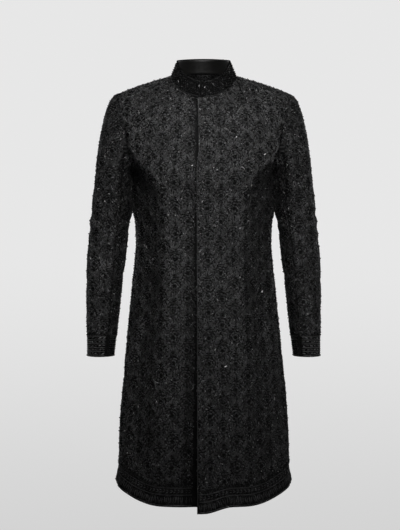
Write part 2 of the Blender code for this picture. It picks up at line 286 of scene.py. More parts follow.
def rowShape(face, share, station):
    # The edge and centre of the rows through some points of the body, and how the rows turn. A share is
    # 0 at the centre and 1 at the edge. A station is 0 at the neck, 1 at the shoulder's end, 2 at the
    # underarm and 3 at the hem.
    share, station = np.broadcast_arrays(np.asarray(share, float), np.asarray(station, float))
    onShoulder, onArm = station <= 1, (station > 1) & (station <= 2)

    def pick(shoulder, arm, sides):
        return np.select([onShoulder, onArm], [shoulder, arm], sides)

    a, b, c = (np.clip(station - start, 0, 1) for start in (0, 1, 2))
    opened = np.maximum((c - body["slitTop"]) / (1 - body["slitTop"]), 0)
    rise = rising(np.abs(share), body["hemRisesFrom"], body["hemRiseWidth"])
    hem = mix(face["hemCentre"], face["hemSide"], rise)
    level = mix(body["underarmZ"], body["sideHemZ"], c) - hem * opened ** body["slitLowers"]
    across, sine = (1 + np.cos(np.pi * b)) / 2, np.sin(np.pi * b)
    armX = mix(body["underarmHalfWidth"], body["shoulderHalfWidth"], across)
    x = pick(
        mix(body["neckHalfWidth"], body["shoulderHalfWidth"], a),
        armX - body["armholeScoop"] * sine**2,
        halfWidthAt(level),
    )
    gap = body["slitHalfGap"] * opened ** body["slitOpens"]
    y = face["sign"] * pick(0 * a, face["armholeHalf"] * sine, gap)
    shoulderZ = 4 * body["shoulderBow"] * a * (1 - a) - body["shoulderDrop"] * a
    z = pick(shoulderZ, mix(body["underarmZ"], -body["shoulderDrop"], across), level)
    centreZ = pick(
        mix(face["neckZ"], face["shoulderRowZ"], a),
        mix(face["shoulderRowZ"], body["underarmZ"], b),
        level,
    )
    start, end, below = body["rowTurn"]
    turn = pick(mix(start, end, a), mix(end, below, rising(b, *body["armTurnDown"])), below)
    start, end, below = body["rowBend"]
    bend = pick(mix(start, end, a), mix(end, below, smooth(b / body["armBendDown"])), below)
    start, below = body["neckSquareness"], face["squareness"]
    power = 2 / pick(start, mix(start, below, b), below)
    return np.stack([x, y, z], -1), centreZ, np.radians(turn), bend, power


def bodyPoints(face, share, station):
    # points of the left half of the body; a negative share is past the centre line
    edge, centreZ, turn, bend, power = rowShape(face, share, station)
    across = np.abs(np.sin(share * turn) / np.sin(turn)) ** power
    forward = (np.cos(share * turn) - np.cos(turn)) / (1 - np.cos(turn))
    forward = np.maximum(forward, 0) ** power
    centreY = face["sign"] * depthAt[face["depth"]](centreZ)
    x = np.sign(share) * edge[..., 0] * across
    y = mix(edge[..., 1], centreY, forward)
    return np.stack([x, y, mix(edge[..., 2], centreZ, forward**bend)], -1)


def shareAt(face, station, x):
    # where along its row the body is at a distance from the centre line
    edge, _, turn, _, power = rowShape(face, 0.0, station)
    return np.arcsin(np.sin(turn) * (x / edge[..., 0]) ** (1 / power)) / turn


def bodyNormals(face, share, station):
    step = 1e-3
    share = np.clip(share, 2 * step - 1, 1 - 2 * step)
    station = np.clip(station, 2 * step, 3 - 2 * step)
    along = bodyPoints(face, share + step, station) - bodyPoints(face, share - step, station)
    down = bodyPoints(face, share, station + step) - bodyPoints(face, share, station - step)
    place = bodyPoints(face, share, station)
    outwards = place * np.array([1, 1, 0]) + np.array([0, 0, 0.10])  # and up, at the shoulders
    return turnedTo(unit(np.cross(along, down)), outwards)


def fluteHeights(face, share, z):
    height = 0.0
    for angle, half, rise in flutes[face["depth"]]:
        away = np.minimum(np.abs(90 * np.abs(share) - angle) / half, 1.0)
        height = height + rise * (1 + np.cos(np.pi * away)) / 2
    return height * falling(z, flutes["top"], flutes["top"] - body["sideHemZ"])


def downClosure(z, most):
    # the share of the closure's way down at a height
    return np.clip((z - closure["top"]) / (body["sideHemZ"] - closure["top"]), 0, most)


def closureHeights(left, x, z):
    # the left front's edge stands proud and flares at the hem; the right one falls back under it
    down = downClosure(z, closure["mostDown"])
    if left:
        return closure["flare"] * rising(down, *closure["flareDown"]) * falling(x, *closure["flareAcross"])
    under = closure["step"] * falling(x, closure["sunkTo"], closure["sunkTo"] - closure["sunkFrom"])
    return -under - closure["trough"] * down * falling(x, *closure["troughAcross"])


def panelPoints(face, left, share, station):
    # the outer face of a body panel on its left half, with its outward directions
    place, normals = bodyPoints(face, share, station), bodyNormals(face, share, station)
    height = fluteHeights(face, share, place[..., 2])
    if face is front:
        height = height + closureHeights(left, place[..., 0], place[..., 2])
        if left:
            rounded = falling(place[..., 0], closure["cornerWidth"], closure["cornerWidth"])
            place[..., 2] -= closure["cornerDrop"] * rising(station, *closure["cornerDown"]) * rounded
    return place + normals * height[..., None], normals


def armholePoints(turn):
    # the left armhole; turn is in degrees from the shoulder, positive towards the front
    angle = np.radians(turn)
    across = (1 + np.cos(angle)) / 2
    x = mix(body["underarmHalfWidth"], body["shoulderHalfWidth"], across)
    half = np.where(np.sin(angle) >= 0, front["armholeHalf"], back["armholeHalf"])
    z = mix(body["underarmZ"], -body["shoulderDrop"], across)
    return np.stack([x - body["armholeScoop"] * np.sin(angle) ** 2, -half * np.sin(angle), z], -1)


def sleevePoints(turn, ring):
    angle, late = np.radians(turn), np.maximum(ring, 1.0)
    across = (1 + np.cos(angle)) / 2
    x = mix(sleeveAt["innerX"](late), sleeveAt["outerX"](late), across)
    z = mix(sleeveAt["innerZ"](late), sleeveAt["outerZ"](late), across)
    half = np.where(np.sin(angle) >= 0, sleeveAt["frontHalf"](late), sleeveAt["backHalf"](late))
    tube = np.stack([x, sleeveAt["middleY"](late) - half * np.sin(angle), z], -1)
    return mix(armholePoints(turn), tube, np.minimum(ring, 1.0)[..., None])


def collarPoints(turn, height):
    # the collar; turn is in degrees from the centre back, height from 0 to 1
    ahead = np.abs(turn) > 90
    shareFront = np.sign(turn) * (180 - np.abs(turn)) / 90
    base = np.where(
        ahead[..., None],
        bodyPoints(front, shareFront, 0 * turn),
        bodyPoints(back, turn / 90, 0 * turn),
    )
    shallow = np.where(ahead, collar["topDepthFront"], collar["topDepthBack"])
    x = base[..., 0] * mix(1, collar["topWidth"], height)
    y = base[..., 1] * mix(1, shallow, height)
    return np.stack([x, y, base[..., 2] + collar["lift"] + collar["rise"] * height], -1)


settling = {"rounds": 900, "haste": 1.8}


def flatten(points, pinnedColumn=None):
    # the flat cut of a grid: rows, columns and diagonals settle at the lengths they have when worn
    rows, columns = points.shape[:2]
    middle = pinnedColumn if pinnedColumn is not None else columns // 2
    along = np.linalg.norm(np.diff(points, axis=1)[..., :2], axis=-1)
    u = np.concatenate([np.zeros((rows, 1)), np.cumsum(along, axis=1)], axis=1)
    flat = np.stack([u - u[:, middle : middle + 1], points[..., 2]], -1)
    spans = ((0, 1), (1, 0), (1, 1), (1, -1), (0, 2), (2, 0))
    pairs = []
    for down, over in spans:
        first = (slice(0, rows - down), slice(max(0, -over), columns - max(0, over)))
        second = (slice(down, rows), slice(max(0, over), columns + min(0, over)))
        pairs.append((first, second, np.linalg.norm(points[second] - points[first], axis=-1)))
    for _ in range(settling["rounds"]):
        move, count = np.zeros_like(flat), np.zeros((rows, columns, 1))
        for first, second, length in pairs:
            gap = flat[second] - flat[first]
            now = np.maximum(np.linalg.norm(gap, axis=-1), 1e-9)
            pull = gap * (0.5 * (1 - length / now))[..., None]
            move[first] += pull
            move[second] -= pull
            count[first] += 1
            count[second] += 1
        flat += move / count * settling["haste"]
        if pinnedColumn is not None:
            flat[:, pinnedColumn, 0] = 0
    return flat


def spread(coarse, rows, columns):
    # a coarse grid of values read at a finer grid's points
    atRow = np.linspace(0, coarse.shape[0] - 1, rows)
    atColumn = np.linspace(0, coarse.shape[1] - 1, columns)
    i, j = np.floor(atRow).astype(int), np.floor(atColumn).astype(int)
    i, j = np.minimum(i, coarse.shape[0] - 2), np.minimum(j, coarse.shape[1] - 2)
    s, t = (atRow - i)[:, None, None], (atColumn - j)[None, :, None]
    top = mix(coarse[i][:, j], coarse[i][:, j + 1], t)
    return mix(top, mix(coarse[i + 1][:, j], coarse[i + 1][:, j + 1], t), s)


farAway = 9.0
atOnce = 40  # points of an edge measured together, to save memory


def awayFrom(cut, edges):
    # how far each point of the cut is from some of its edges
    best = np.full(cut.shape[:2], farAway)
    for edge in edges:
        for start in range(0, len(edge), atOnce):
            part = edge[start : start + atOnce]
            gap = np.linalg.norm(cut[:, :, None] - part[None, None], axis=-1)
            best = np.minimum(best, gap.min(-1))
    return best


creasing = {
    "bow": 0.12,  # how far a crease bows to one side, as a share of its length
    "comesIn": (-0.15, 0.35),  # shares of its length
    "goesOut": (1.15, 0.35),
    "seamSunk": 0.0005,
    "seamWidth": 0.0035,
    "seamStill": 0.02,  # creases fade out towards a seam within this
}


def creaseHeights(cut, creases):
    # soft ridges and troughs along lines of the cut, fading at both ends
    height = np.zeros(cut.shape[:2])
    for *ends, width, rise in creases:
        start, line = np.array(ends[:2]), np.array(ends[2:]) - np.array(ends[:2])
        length = np.linalg.norm(line)
        t = ((cut - start) * line).sum(-1) / length**2
        bow = creasing["bow"] * length * np.sin(np.pi * np.clip(t, 0, 1))
        off = ((cut - start) * np.array([-line[1], line[0]]) / length).sum(-1) - bow
        fade = rising(t, *creasing["comesIn"]) * falling(t, *creasing["goesOut"])
        height += rise * fade * hump(off, width)
    return height


panels = {}


def addPanel(name, points, away, seams, creases=(), pinned=None, hemRow=True, level=0.0, stride=(4, 4)):
    # Keeps a panel: its points with creases, its cut, and how far each point is from its edges. The cut
    # is settled on a coarser grid, one in so many rows and columns, where a pinned column stays straight.
    rows, columns = points.shape[:2]
    worn = points[:: stride[0], :: stride[1]]
    coarse = flatten(worn, pinned)
    guide = pinned if pinned is not None else coarse.shape[1] // 2
    coarse[..., 1] -= coarse[np.argmin(np.abs(worn[:, guide, 2] - level)), guide, 1]
    cut = spread(coarse, rows, columns)
    edges = {"top": cut[0], "hem": cut[-1], "first": cut[:, 0], "last": cut[:, -1]}
    seamAway = awayFrom(cut, [edges[key][part] for key, part in seams])
    height = creaseHeights(cut, creases) * smooth(seamAway / creasing["seamStill"])
    height = height - creasing["seamSunk"] * hump(seamAway, creasing["seamWidth"])
    hemAway = np.full((rows, columns), farAway)
    if hemRow:
        hemAway[-1] = 0
        hemAway[:-1] = np.cumsum(np.linalg.norm(np.diff(cut[::-1], axis=0), axis=-1), axis=0)[::-1]
    panels[name] = {
        "points": points + gridNormals(points, away) * height[..., None],
        "away": away,
        "cut": cut,
        "edgeAway": awayFrom(cut, list(edges.values())),
        "hemAway": hemAway,
        "bare": np.zeros((rows, columns)),
    }


grid = {
    "rows": 152,  # of the fronts and the back
    "upperRows": 46,  # those above the underarm
    "front": 45,  # columns
    "back": 80,
    "sleeveRows": 92,
    "sleeveRowPower": 0.9,  # under 1, the rows crowd towards the cuff
    "upperSleeve": 36,
    "underSleeve": 16,
    "collarRows": 8,
    "collar": 144,
    "waist": -0.355,  # heights that the cuts of the body and of the sleeves are measured from
    "elbow": -0.40,
}
upperStations = np.linspace(0, 2, grid["upperRows"] + 1)[:-1]
stations = np.concatenate([upperStations, np.linspace(2, 3, grid["rows"] - grid["upperRows"] + 1)])
everything = slice(None)
aboveSlit = slice(0, grid["upperRows"] + int((grid["rows"] - grid["upperRows"]) * body["slitTop"]))
sides = {
    "turned": 0.040,  # how far back the fronts fall towards their sides
    "turnedDown": (-0.17, 0.17),  # where the line that they turn at slants in, and over what height
    "turnedFrom": (0.180, 0.094),  # from the centre, above and below that slant
    "turnedAcross": 0.060,
    "turnedTop": (-0.16, 0.06),
    "turnedEnd": (-1.15, 0.60),
    "turnedSeam": 0.22,  # the share of a front beside its side seam that stays
    "swell": 0.0030,  # how far the sides swell out below the underarm, to touch the sleeves
    "swellAcross": (0.150, 0.03),
    "swellTop": (-0.212, 0.02),
    "swellEnd": (-0.372, 0.03),
}


def gridOf(down, across):
    # a row of values for each step down, and a column for each across
    return np.asarray(down)[:, None] * np.ones((1, len(across))), np.ones((len(down), 1)) * across


def mirrored(left, *grids):
    for values in grids:
        values[..., 0] *= 1 if left else -1


def turnedSide(points):
    out, z = np.abs(points[..., 0]), points[..., 2]
    start = mix(*sides["turnedFrom"], falling(z, *sides["turnedDown"]))
    lower = falling(z, *sides["turnedTop"]) * rising(z, *sides["turnedEnd"])
    return sides["turned"] * rising(out, start, sides["turnedAcross"]) * lower


def swollen(points):
    out, z = np.abs(points[..., 0]), points[..., 2]
    level = falling(z, *sides["swellTop"]) * rising(z, *sides["swellEnd"])
    return np.sign(points[..., 0]) * sides["swell"] * rising(out, *sides["swellAcross"]) * level


def addFront(name, left, creases):
    across, down = np.linspace(0, 1, grid["front"] + 1), stations / 3
    edge = mix(closure["edgeTop"], closure["edgeHem"], down)
    edge = edge + closure["edgeOut"] * rising(down, *closure["edgeOutDown"])
    first = -shareAt(front, stations, edge if left else closure["underEdge"] + 0 * down)
    share = mix(first[:, None], 1.0, across[None, :])
    points, away = panelPoints(front, left, share, gridOf(stations, across)[0])
    mirrored(left, points, away)
    points[..., 1] += turnedSide(points) * smooth((1 - across) / sides["turnedSeam"])[None, :]
    points[..., 0] += swollen(points)
    seams, stride = (("top", everything), ("last", aboveSlit)), (4, 3)
    overlap = np.mean(np.abs(first) / (1.0 + np.abs(first)))
    centre = max(int(round(overlap * (grid["front"] // stride[1]))), 1)
    addPanel(name, points, away, seams, creases, centre, level=grid["waist"], stride=stride)
    mirrored(left, panels[name]["cut"])
    if not left:
        down = downClosure(points[..., 2], 1)
        bareTo = mix(closure["bareTop"], closure["bareHem"], down)
        shadeTo = mix(closure["shadeTop"], closure["shadeHem"], down)
        panels[name]["bare"] = smooth((bareTo + points[..., 0]) / closure["bareSoft"] + 0.5)
        # painted shadow of the lap on the right front beside the closure
        shaded = smooth((shadeTo + points[..., 0]) / closure["shadeSoft"] + 0.5)
        panels[name]["shade"] = closure["shade"] * shaded


def addBack(name, creases):
    station, share = gridOf(stations, np.linspace(-1.0, 1.0, grid["back"] + 1))
    points, away = panelPoints(back, False, np.abs(share), station)
    points[..., 0] *= np.sign(share)
    away[..., 0] *= np.sign(share)
    points[..., 0] += swollen(points)
    seams = (("top", everything), ("first", aboveSlit), ("last", aboveSlit))
    centre = grid["back"] // 8  # the middle column of the coarser grid
    addPanel(name, points, away, seams, creases, centre, level=grid["waist"])


def addSleeve(name, upper, left, creases):
    across = np.linspace(0, 1, grid["upperSleeve" if upper else "underSleeve"] + 1)
    rings = np.linspace(0, 1, grid["sleeveRows"] + 1) ** grid["sleeveRowPower"] * len(sleeve)
    ring = gridOf(rings, across)[0]
    ahead, behind = seamAt["frontAngle"](ring[:, :1]), seamAt["backAngle"](ring[:, :1])
    ends = (-behind, ahead) if upper else (ahead, 360 - behind)
    turn = mix(*ends, across[None, :])
    points = sleevePoints(turn, ring)
    away = points - (sleevePoints(0 * turn, ring) + sleevePoints(0 * turn + 180, ring)) / 2
    mirrored(left, points, away)
    seams = (("top", everything), ("first", everything), ("last", everything))
    addPanel(name, points, away, seams, creases, level=grid["elbow"])


def addCollar(name, inset, first, last):
    start = math.degrees(math.asin(collar["meetsX"] / body["neckHalfWidth"]))
    gap = math.degrees(collar["endGap"] / 2 / body["neckHalfWidth"])
    around = np.linspace(-180 - start + gap, 180 - start - gap, grid["collar"] + 1)
    height, turn = gridOf(np.linspace(last, first, grid["collarRows"] + 1), around)
    points = collarPoints(turn, height)
    away = gridNormals(points, points * np.array([1, 1, 0]))
    away[..., 2] = 0
    away = unit(away)
    addPanel(name, points - away * inset, away, (("hem", everything),), hemRow=False)


# Creases run from one place of the cut to another: across and up, across and up, then width and rise.
# Metres; a negative rise is a trough.
frontCreases = (
    (0.205, 0.165, -0.070, 0.070, 0.034, 0.0050),
    (0.190, 0.112, -0.040, 0.036, 0.024, -0.0006),
    (0.190, 0.140, 0.188, 0.020, 0.016, -0.0060),
    (0.200, 0.115, 0.105, 0.025, 0.012, -0.0034),
    (0.205, 0.085, 0.120, -0.035, 0.013, 0.0024),
    (0.190, 0.050, 0.110, -0.060, 0.009, -0.0022),
    (0.185, -0.075, 0.085, -0.100, 0.010, -0.0024),
    (0.190, -0.120, 0.100, -0.155, 0.012, 0.0020),
    (0.130, 0.310, 0.120, 0.170, 0.016, 0.0022),
    (0.055, -0.210, 0.070, -0.690, 0.024, 0.0036),
    (0.115, -0.170, 0.140, -0.700, 0.018, -0.0040),
    (0.165, -0.260, 0.205, -0.690, 0.020, 0.0038),
    (0.225, -0.380, 0.250, -0.700, 0.014, -0.0030),
)
rightOnlyCreases = (
    (0.026, -0.120, 0.024, -0.720, 0.009, -0.0030),
    (0.022, 0.290, 0.020, -0.150, 0.007, -0.0018),
)
upperCreases = (
    (-0.085, 0.030, 0.050, 0.002, 0.009, -0.0026),
    (-0.095, -0.012, 0.060, -0.030, 0.008, -0.0028),
    (-0.090, 0.010, 0.050, -0.014, 0.008, 0.0018),
    (-0.075, -0.055, 0.030, -0.050, 0.010, -0.0020),
    (-0.110, 0.200, -0.010, 0.130, 0.011, -0.0026),
    (0.085, 0.190, 0.020, 0.090, 0.011, -0.0024),
    (-0.070, 0.110, 0.040, 0.075, 0.013, -0.0016),
    (-0.065, -0.140, 0.050, -0.165, 0.010, -0.0020),
    (-0.070, -0.205, 0.020, -0.225, 0.009, -0.0016),
)
underCreases = (
    (-0.050, 0.020, 0.050, 0.004, 0.008, -0.0028),
    (-0.050, -0.014, 0.050, -0.028, 0.008, -0.0026),
    (-0.045, 0.130, 0.040, 0.100, 0.010, -0.0024),
    (-0.040, -0.120, 0.045, -0.140, 0.009, -0.0018),
)
backCreases = (
    (0.200, 0.110, 0.080, 0.030, 0.013, -0.0032),
    (-0.195, 0.120, -0.090, 0.020, 0.012, -0.0030),
    (0.180, 0.060, 0.090, -0.040, 0.011, 0.0022),
    (0.000, 0.240, 0.002, -0.080, 0.034, -0.0036),
    (-0.150, -0.085, -0.030, -0.110, 0.011, -0.0026),
    (0.155, -0.095, 0.040, -0.125, 0.012, -0.0024),
    (-0.120, -0.130, 0.100, -0.150, 0.013, 0.0020),
    (-0.060, -0.200, -0.085, -0.660, 0.024, 0.0040),
    (0.070, -0.190, 0.090, -0.660, 0.022, 0.0038),
    (0.005, -0.230, 0.000, -0.680, 0.018, -0.0034),
    (-0.140, -0.200, -0.180, -0.660, 0.020, -0.0042),
    (0.150, -0.210, 0.185, -0.650, 0.019, -0.0040),
    (-0.200, -0.300, -0.240, -0.650, 0.018, 0.0034),
    (0.205, -0.310, 0.245, -0.650, 0.018, 0.0034),
)
sway = {
    "ends": 0.016,  # how far a crease's ends move in all
    "width": (0.85, 1.15),
    "rise": (0.75, 1.25),
    "frontLeft": 3,  # seeds; a sleeve of the left side adds one
    "frontRight": 5,
    "upper": 8,
    "under": 10,
}


def swayed(creases, seed):
    # the same creases a little moved, so that the two sides differ
    random = np.random.default_rng(seed)
    rows = []
    for *ends, width, rise in creases:
        ends = np.array(ends) + (random.random(4) - 0.5) * sway["ends"]
        width = width * mix(*sway["width"], random.random())
        rows.append((*ends, width, rise * mix(*sway["rise"], random.random())))
    return rows


addFront("front_left", True, swayed(frontCreases, sway["frontLeft"]))
addFront("front_right", False, swayed(frontCreases, sway["frontRight"]) + list(rightOnlyCreases))
addBack("back", backCreases)
for sideName, isLeft in (("left", True), ("right", False)):
    addSleeve(f"sleeve_{sideName}_upper", True, isLeft, swayed(upperCreases, sway["upper"] + isLeft))
    addSleeve(f"sleeve_{sideName}_under", False, isLeft, swayed(underCreases, sway["under"] + isLeft))
addCollar("collar", 0.0, *collar["span"])
addCollar("collar_facing", collar["cloth"] + collar["facingGap"], *collar["facingSpan"])
print("cut flat", len(panels), "panels")


# The beadwork is drawn on the flat cut, in metres where no other unit is given.
jaal = {
    "across": 0.033,  # half of a diamond's width, and of its height
    "up": 0.032,
    "wave": 0.0030,  # how far the diamonds' sides swing from straight
    "cord": 0.00085,  # radius
    "jitter": 0.0011,
    "lean": 9,  # most a flower turns either way, in degrees
    "proud": 4.2,  # the larger beads between the corners, in millimetres
    "skipped": 0.07,  # share of the stitches left out, as by hand
    "stray": 0.0026,  # how far a flower's stitches stray in all, and turn in radians
    "twist": 0.7,
    "flowerVary": 0.45,  # how far whole flowers differ in tone, as a share of how their stitches do
    "flowerGrows": (0.94, 1.06),
    "beadGrows": (0.86, 1.14),
    "beadTwist": 0.60,
    "scatter": 14,  # loose beads in each diamond
    "scatterReach": (0.62, 0.96),  # where they lie, in shares of the way from its centre to its side
    "cordTone": 0.8,
    "seed": 7,
    "tone": 0.95,
    "paintedLightTone": 1.30,  # painted light on what is sewn above a diamond's side, as on padding lit from above
    "paintedShadeTone": 0.72,  # and painted shade on what is below it, where that padding faces away from the light
    "lightLift": 0.14,  # shares of half a diamond's height
    "darkDrop": 0.26,
    "litBetween": (0.32, 0.47),
    "relief": 0.0028,  # height of the padding under the diamonds' sides
}
# For each kind: its number in the collection of shapes, how far it leans along its length and rolls
# over it in radians, and its height in millimetres, as a share of its width and what is added to that.
kinds = {
    "bead": {"number": 0, "lean": 0.5, "roll": 0.5, "high": (1.0, 0.0)},
    "bugle": {"number": 1, "lean": 0.16, "roll": 1.5, "high": (1.0, 0.0)},
    "leaf": {"number": 2, "lean": 0.16, "roll": 0.16, "high": (0.22, 1.4)},
    "sequin": {"number": 3, "lean": 0.65, "roll": 0.65, "high": (0.0, 0.7)},
}
scatterKinds = ("bead", "bugle", "sequin", "sequin")
scatterSizes = {"bead": (2.6, 2.6), "bugle": (5.0, 1.9), "sequin": (2.9, 2.9)}

# One diamond's flower: kind, place across and up from its centre, turn in degrees, length and width.
# Millimetres; what is off the centre line is mirrored.
flower = (
    ("bead", 0.0, 0.0, 0, 3.4, 3.4),
    ("leaf", 0.0, 6.8, 0, 8.4, 4.6),
    ("leaf", 5.9, 3.3, -60, 8.2, 4.6),
    ("leaf", 5.9, -3.3, 60, 8.2, 4.6),
    ("leaf", 0.0, -6.8, 0, 8.4, 4.6),
    ("leaf", 0.0, 12.6, 0, 9.0, 4.8),
    ("leaf", 7.4, 10.2, -36, 9.0, 4.8),
    ("leaf", 12.0, 3.9, -72, 9.0, 4.8),
    ("leaf", 12.0, -3.9, 72, 8.8, 4.6),
    ("leaf", 7.4, -10.2, 36, 8.8, 4.6),
    ("bead", 0.0, -12.6, 0, 3.2, 3.2),
    ("bead", 3.6, 16.0, 0, 2.4, 2.4),
    ("sequin", 9.6, 0.0, 0, 3.0, 3.0),
    ("leaf", 4.2, 19.0, -12, 8.6, 3.8),
    ("leaf", 11.6, 15.4, -38, 9.2, 3.8),
    ("leaf", 17.0, 8.8, -62, 9.2, 3.8),
    ("leaf", 18.8, 0.2, -88, 9.0, 3.6),
    ("leaf", 16.6, -8.6, 62, 8.8, 3.6),
    ("leaf", 9.6, -17.4, 118, 12.0, 4.0),
    ("leaf", 3.4, -20.0, 100, 12.0, 4.0),
    ("bead", 0.0, 24.0, 0, 3.6, 3.6),
    ("leaf", 0.0, 35.0, 90, 16.0, 4.6),
    ("leaf", 5.8, 34.6, 64, 16.0, 4.4),
    ("leaf", 10.8, 31.4, 38, 15.0, 4.2),
    ("bead", 2.8, 45.0, 0, 2.8, 2.8),
    ("sequin", 17.0, 36.0, 0, 3.2, 3.2),
)
sideRow = {
    "first": 0.22,  # shares of a diamond's side
    "last": 0.84,
    "pairs": 5,
    "off": 3.2,  # millimetres from the side
    "swing": 40,
    "length": 9.6,
    "width": 4.2,
    "tone": 0.9,
    "thinned": 0.55,  # share left out where the work is plain
    "cordEnds": (0.09, 0.91),
    "cordPoints": 11,
}


def newDrawing(seed, hand, vary):
    # hand is 1 where the cut is seen the right way round from outside, and -1 where it is mirrored
    return {"points": [], "cords": [], "hand": hand, "vary": vary, "random": np.random.default_rng(seed)}


def drawBead(drawing, kind, place, turn, length, width, above, tone=1.0, slope=(0, 0)):
    # sizes are in millimetres; above is the height of the border it stays off
    chance, made = drawing["random"].random(6), kinds[kind]
    share, more = made["high"]
    grow = mix(*jaal["beadGrows"], chance[0])
    turn = turn + (chance[1] - 0.5) * jaal["beadTwist"]
    along = slope[0] * math.cos(turn) + slope[1] * math.sin(turn)
    over = (slope[1] * math.cos(turn) - slope[0] * math.sin(turn)) * drawing["hand"]
    roll = (chance[2] - 0.5) * 2 * made["roll"] + over
    lean = (chance[3] - 0.5) * 2 * made["lean"] - along
    sizes = [size * grow / 1000 for size in (length, width, share * width + more)]
    light = tone * (1 + drawing["vary"] * (chance[4] - 0.5))
    drawing["points"].append((made["number"], *place[:2], turn, roll, lean, *sizes, above, light))


def drawCord(drawing, line, radius, above, tone):
    drawing["cords"].append((np.asarray(line), radius, above, tone))


def sideLine(sign, t):
    # a point on a diamond's upper side, from its top to its outer corner, and the ways along and over it
    across, up = jaal["across"] * sign, jaal["up"]
    length = math.hypot(across, up)
    along = np.array([across, -up]) / length
    over = np.array([up, across]) / length * (1 if sign > 0 else -1)
    swing = jaal["wave"] * math.sin(2 * math.pi * t)
    place = np.array([0, up]) + along * length * t + over * swing
    lean = 2 * math.pi * jaal["wave"] / length * math.cos(2 * math.pi * t)
    return place, along + over * lean, over - along * lean


def jaalLightAndShade(place):
    # painted light above the diamonds' sides and painted shade below them, as on their padding lit from
    # above
    low, high = jaal["litBetween"]
    lit = []
    for lift in (jaal["lightLift"], -jaal["darkDrop"]):
        p, q = place[..., 0] / jaal["across"], place[..., 1] / jaal["up"] - lift
        apart = [np.abs(way - np.round(way)) for way in ((p - q) / 2, (p + q) / 2)]
        lit.append(rising(np.maximum(*apart), low, high - low))
    tone = mix(jaal["tone"], jaal["paintedShadeTone"], lit[1])
    return mix(tone, jaal["paintedLightTone"], lit[0])


def jaalSlope(place):
    # how steeply the padding under the diamonds' sides rises, across and up the cut
    p, q = place[0] / jaal["across"], place[1] / jaal["up"]
    one, two = (jaal["relief"] * math.pi * math.sin(math.pi * way) / 2 for way in (p - q, p + q))
    return np.array([(one + two) / jaal["across"], (two - one) / jaal["up"]])


def drawDiamond(drawing, centre, above, rich):
    random = drawing["random"]
    tone = 1 + jaal["flowerVary"] * drawing["vary"] * (random.random() - 0.5)
    centre = centre + (random.random(2) - 0.5) * 2 * jaal["jitter"]
    lean = (random.random() - 0.5) * 2 * math.radians(jaal["lean"])
    spin = np.array([[math.cos(lean), -math.sin(lean)], [math.sin(lean), math.cos(lean)]])
    spin = spin * mix(*jaal["flowerGrows"], random.random())
    for kind, across, up, turn, length, width in flower:
        for sign in (1, -1) if across else (1,):
            if random.random() < jaal["skipped"]:
                continue
            place = centre + spin @ np.array([across * sign, up]) / 1000
            place = place + (random.random(2) - 0.5) * jaal["stray"]
            angle = math.radians(turn if sign > 0 else 180 - turn) + lean
            angle = angle + (random.random() - 0.5) * jaal["twist"]
            # painted light above the diamonds' sides and painted shade below them
            light = tone * float(jaalLightAndShade(place))
            drawBead(drawing, kind, place, angle, length, width, above, light, jaalSlope(place))
    for sign in (1, -1):
        proud = centre + sideLine(sign, 0.5)[0]
        drawBead(drawing, "bead", proud, 0.0, jaal["proud"], jaal["proud"], above)
        steps = np.linspace(*sideRow["cordEnds"], sideRow["cordPoints"])
        line = np.array([centre + sideLine(sign, t)[0] for t in steps])
        # the cord takes the same painted light and shade
        drawCord(drawing, line, jaal["cord"], above, jaal["cordTone"] * tone * jaalLightAndShade(line))
        for t in np.linspace(sideRow["first"], sideRow["last"], sideRow["pairs"]):
            place, along, over = sideLine(sign, t)
            for way in (1, -1):
                if random.random() < jaal["skipped"] + (1 - rich) * sideRow["thinned"]:
                    continue
                angle = math.atan2(-along[1], -along[0]) - math.radians(sideRow["swing"]) * way * sign
                spot = centre + place + over * way * sideRow["off"] / 1000
                # the side leaves take the same painted light and shade
                light = sideRow["tone"] * tone * float(jaalLightAndShade(spot))
                sizes = (sideRow["length"], sideRow["width"])
                drawBead(drawing, "leaf", spot, angle, *sizes, above, light, jaalSlope(spot))
    for _ in range(int(jaal["scatter"] * rich)):
        angle = random.random() * 2 * math.pi
        reach = mix(*jaal["scatterReach"], random.random())
        share = reach / (abs(math.cos(angle)) + abs(math.sin(angle)))
        place = centre + np.array([math.cos(angle) * jaal["across"], math.sin(angle) * jaal["up"]]) * share
        kind = scatterKinds[int(random.random() * len(scatterKinds))]
        drawBead(drawing, kind, place, random.random() * math.pi, *scatterSizes[kind], above)


def drawJaal(drawing, cut, above, rich):
    # what falls outside the cut is dropped when it is laid on the cloth
    low, high = cut.min((0, 1)), cut.max((0, 1))
    pitch = (jaal["across"], jaal["up"])
    steps = [range(math.floor(a / w) - 1, math.ceil(b / w) + 2) for a, b, w in zip(low, high, pitch)]
    for i in steps[0]:
        for j in steps[1]:
            if (i + j) % 2 == 0:
                drawDiamond(drawing, np.array([i * jaal["across"], j * jaal["up"]]), above, rich)


def resample(line, step):
    line = np.asarray(line)
    far = np.concatenate([[0], np.cumsum(np.linalg.norm(np.diff(line, axis=0), axis=-1))])
    at = np.linspace(0, far[-1], max(int(far[-1] / step), 1) + 1)
    return np.stack([np.interp(at, far, line[:, k]) for k in (0, 1)], -1)


def alongHem(panel, distance):
    # the line on a cut that runs at a distance above its hem or cuff
    line = []
    for column in range(panel["cut"].shape[1]):
        up = panel["hemAway"][::-1, column]
        line.append([np.interp(distance, up, panel["cut"][::-1, column, k]) for k in (0, 1)])
    return np.array(line)


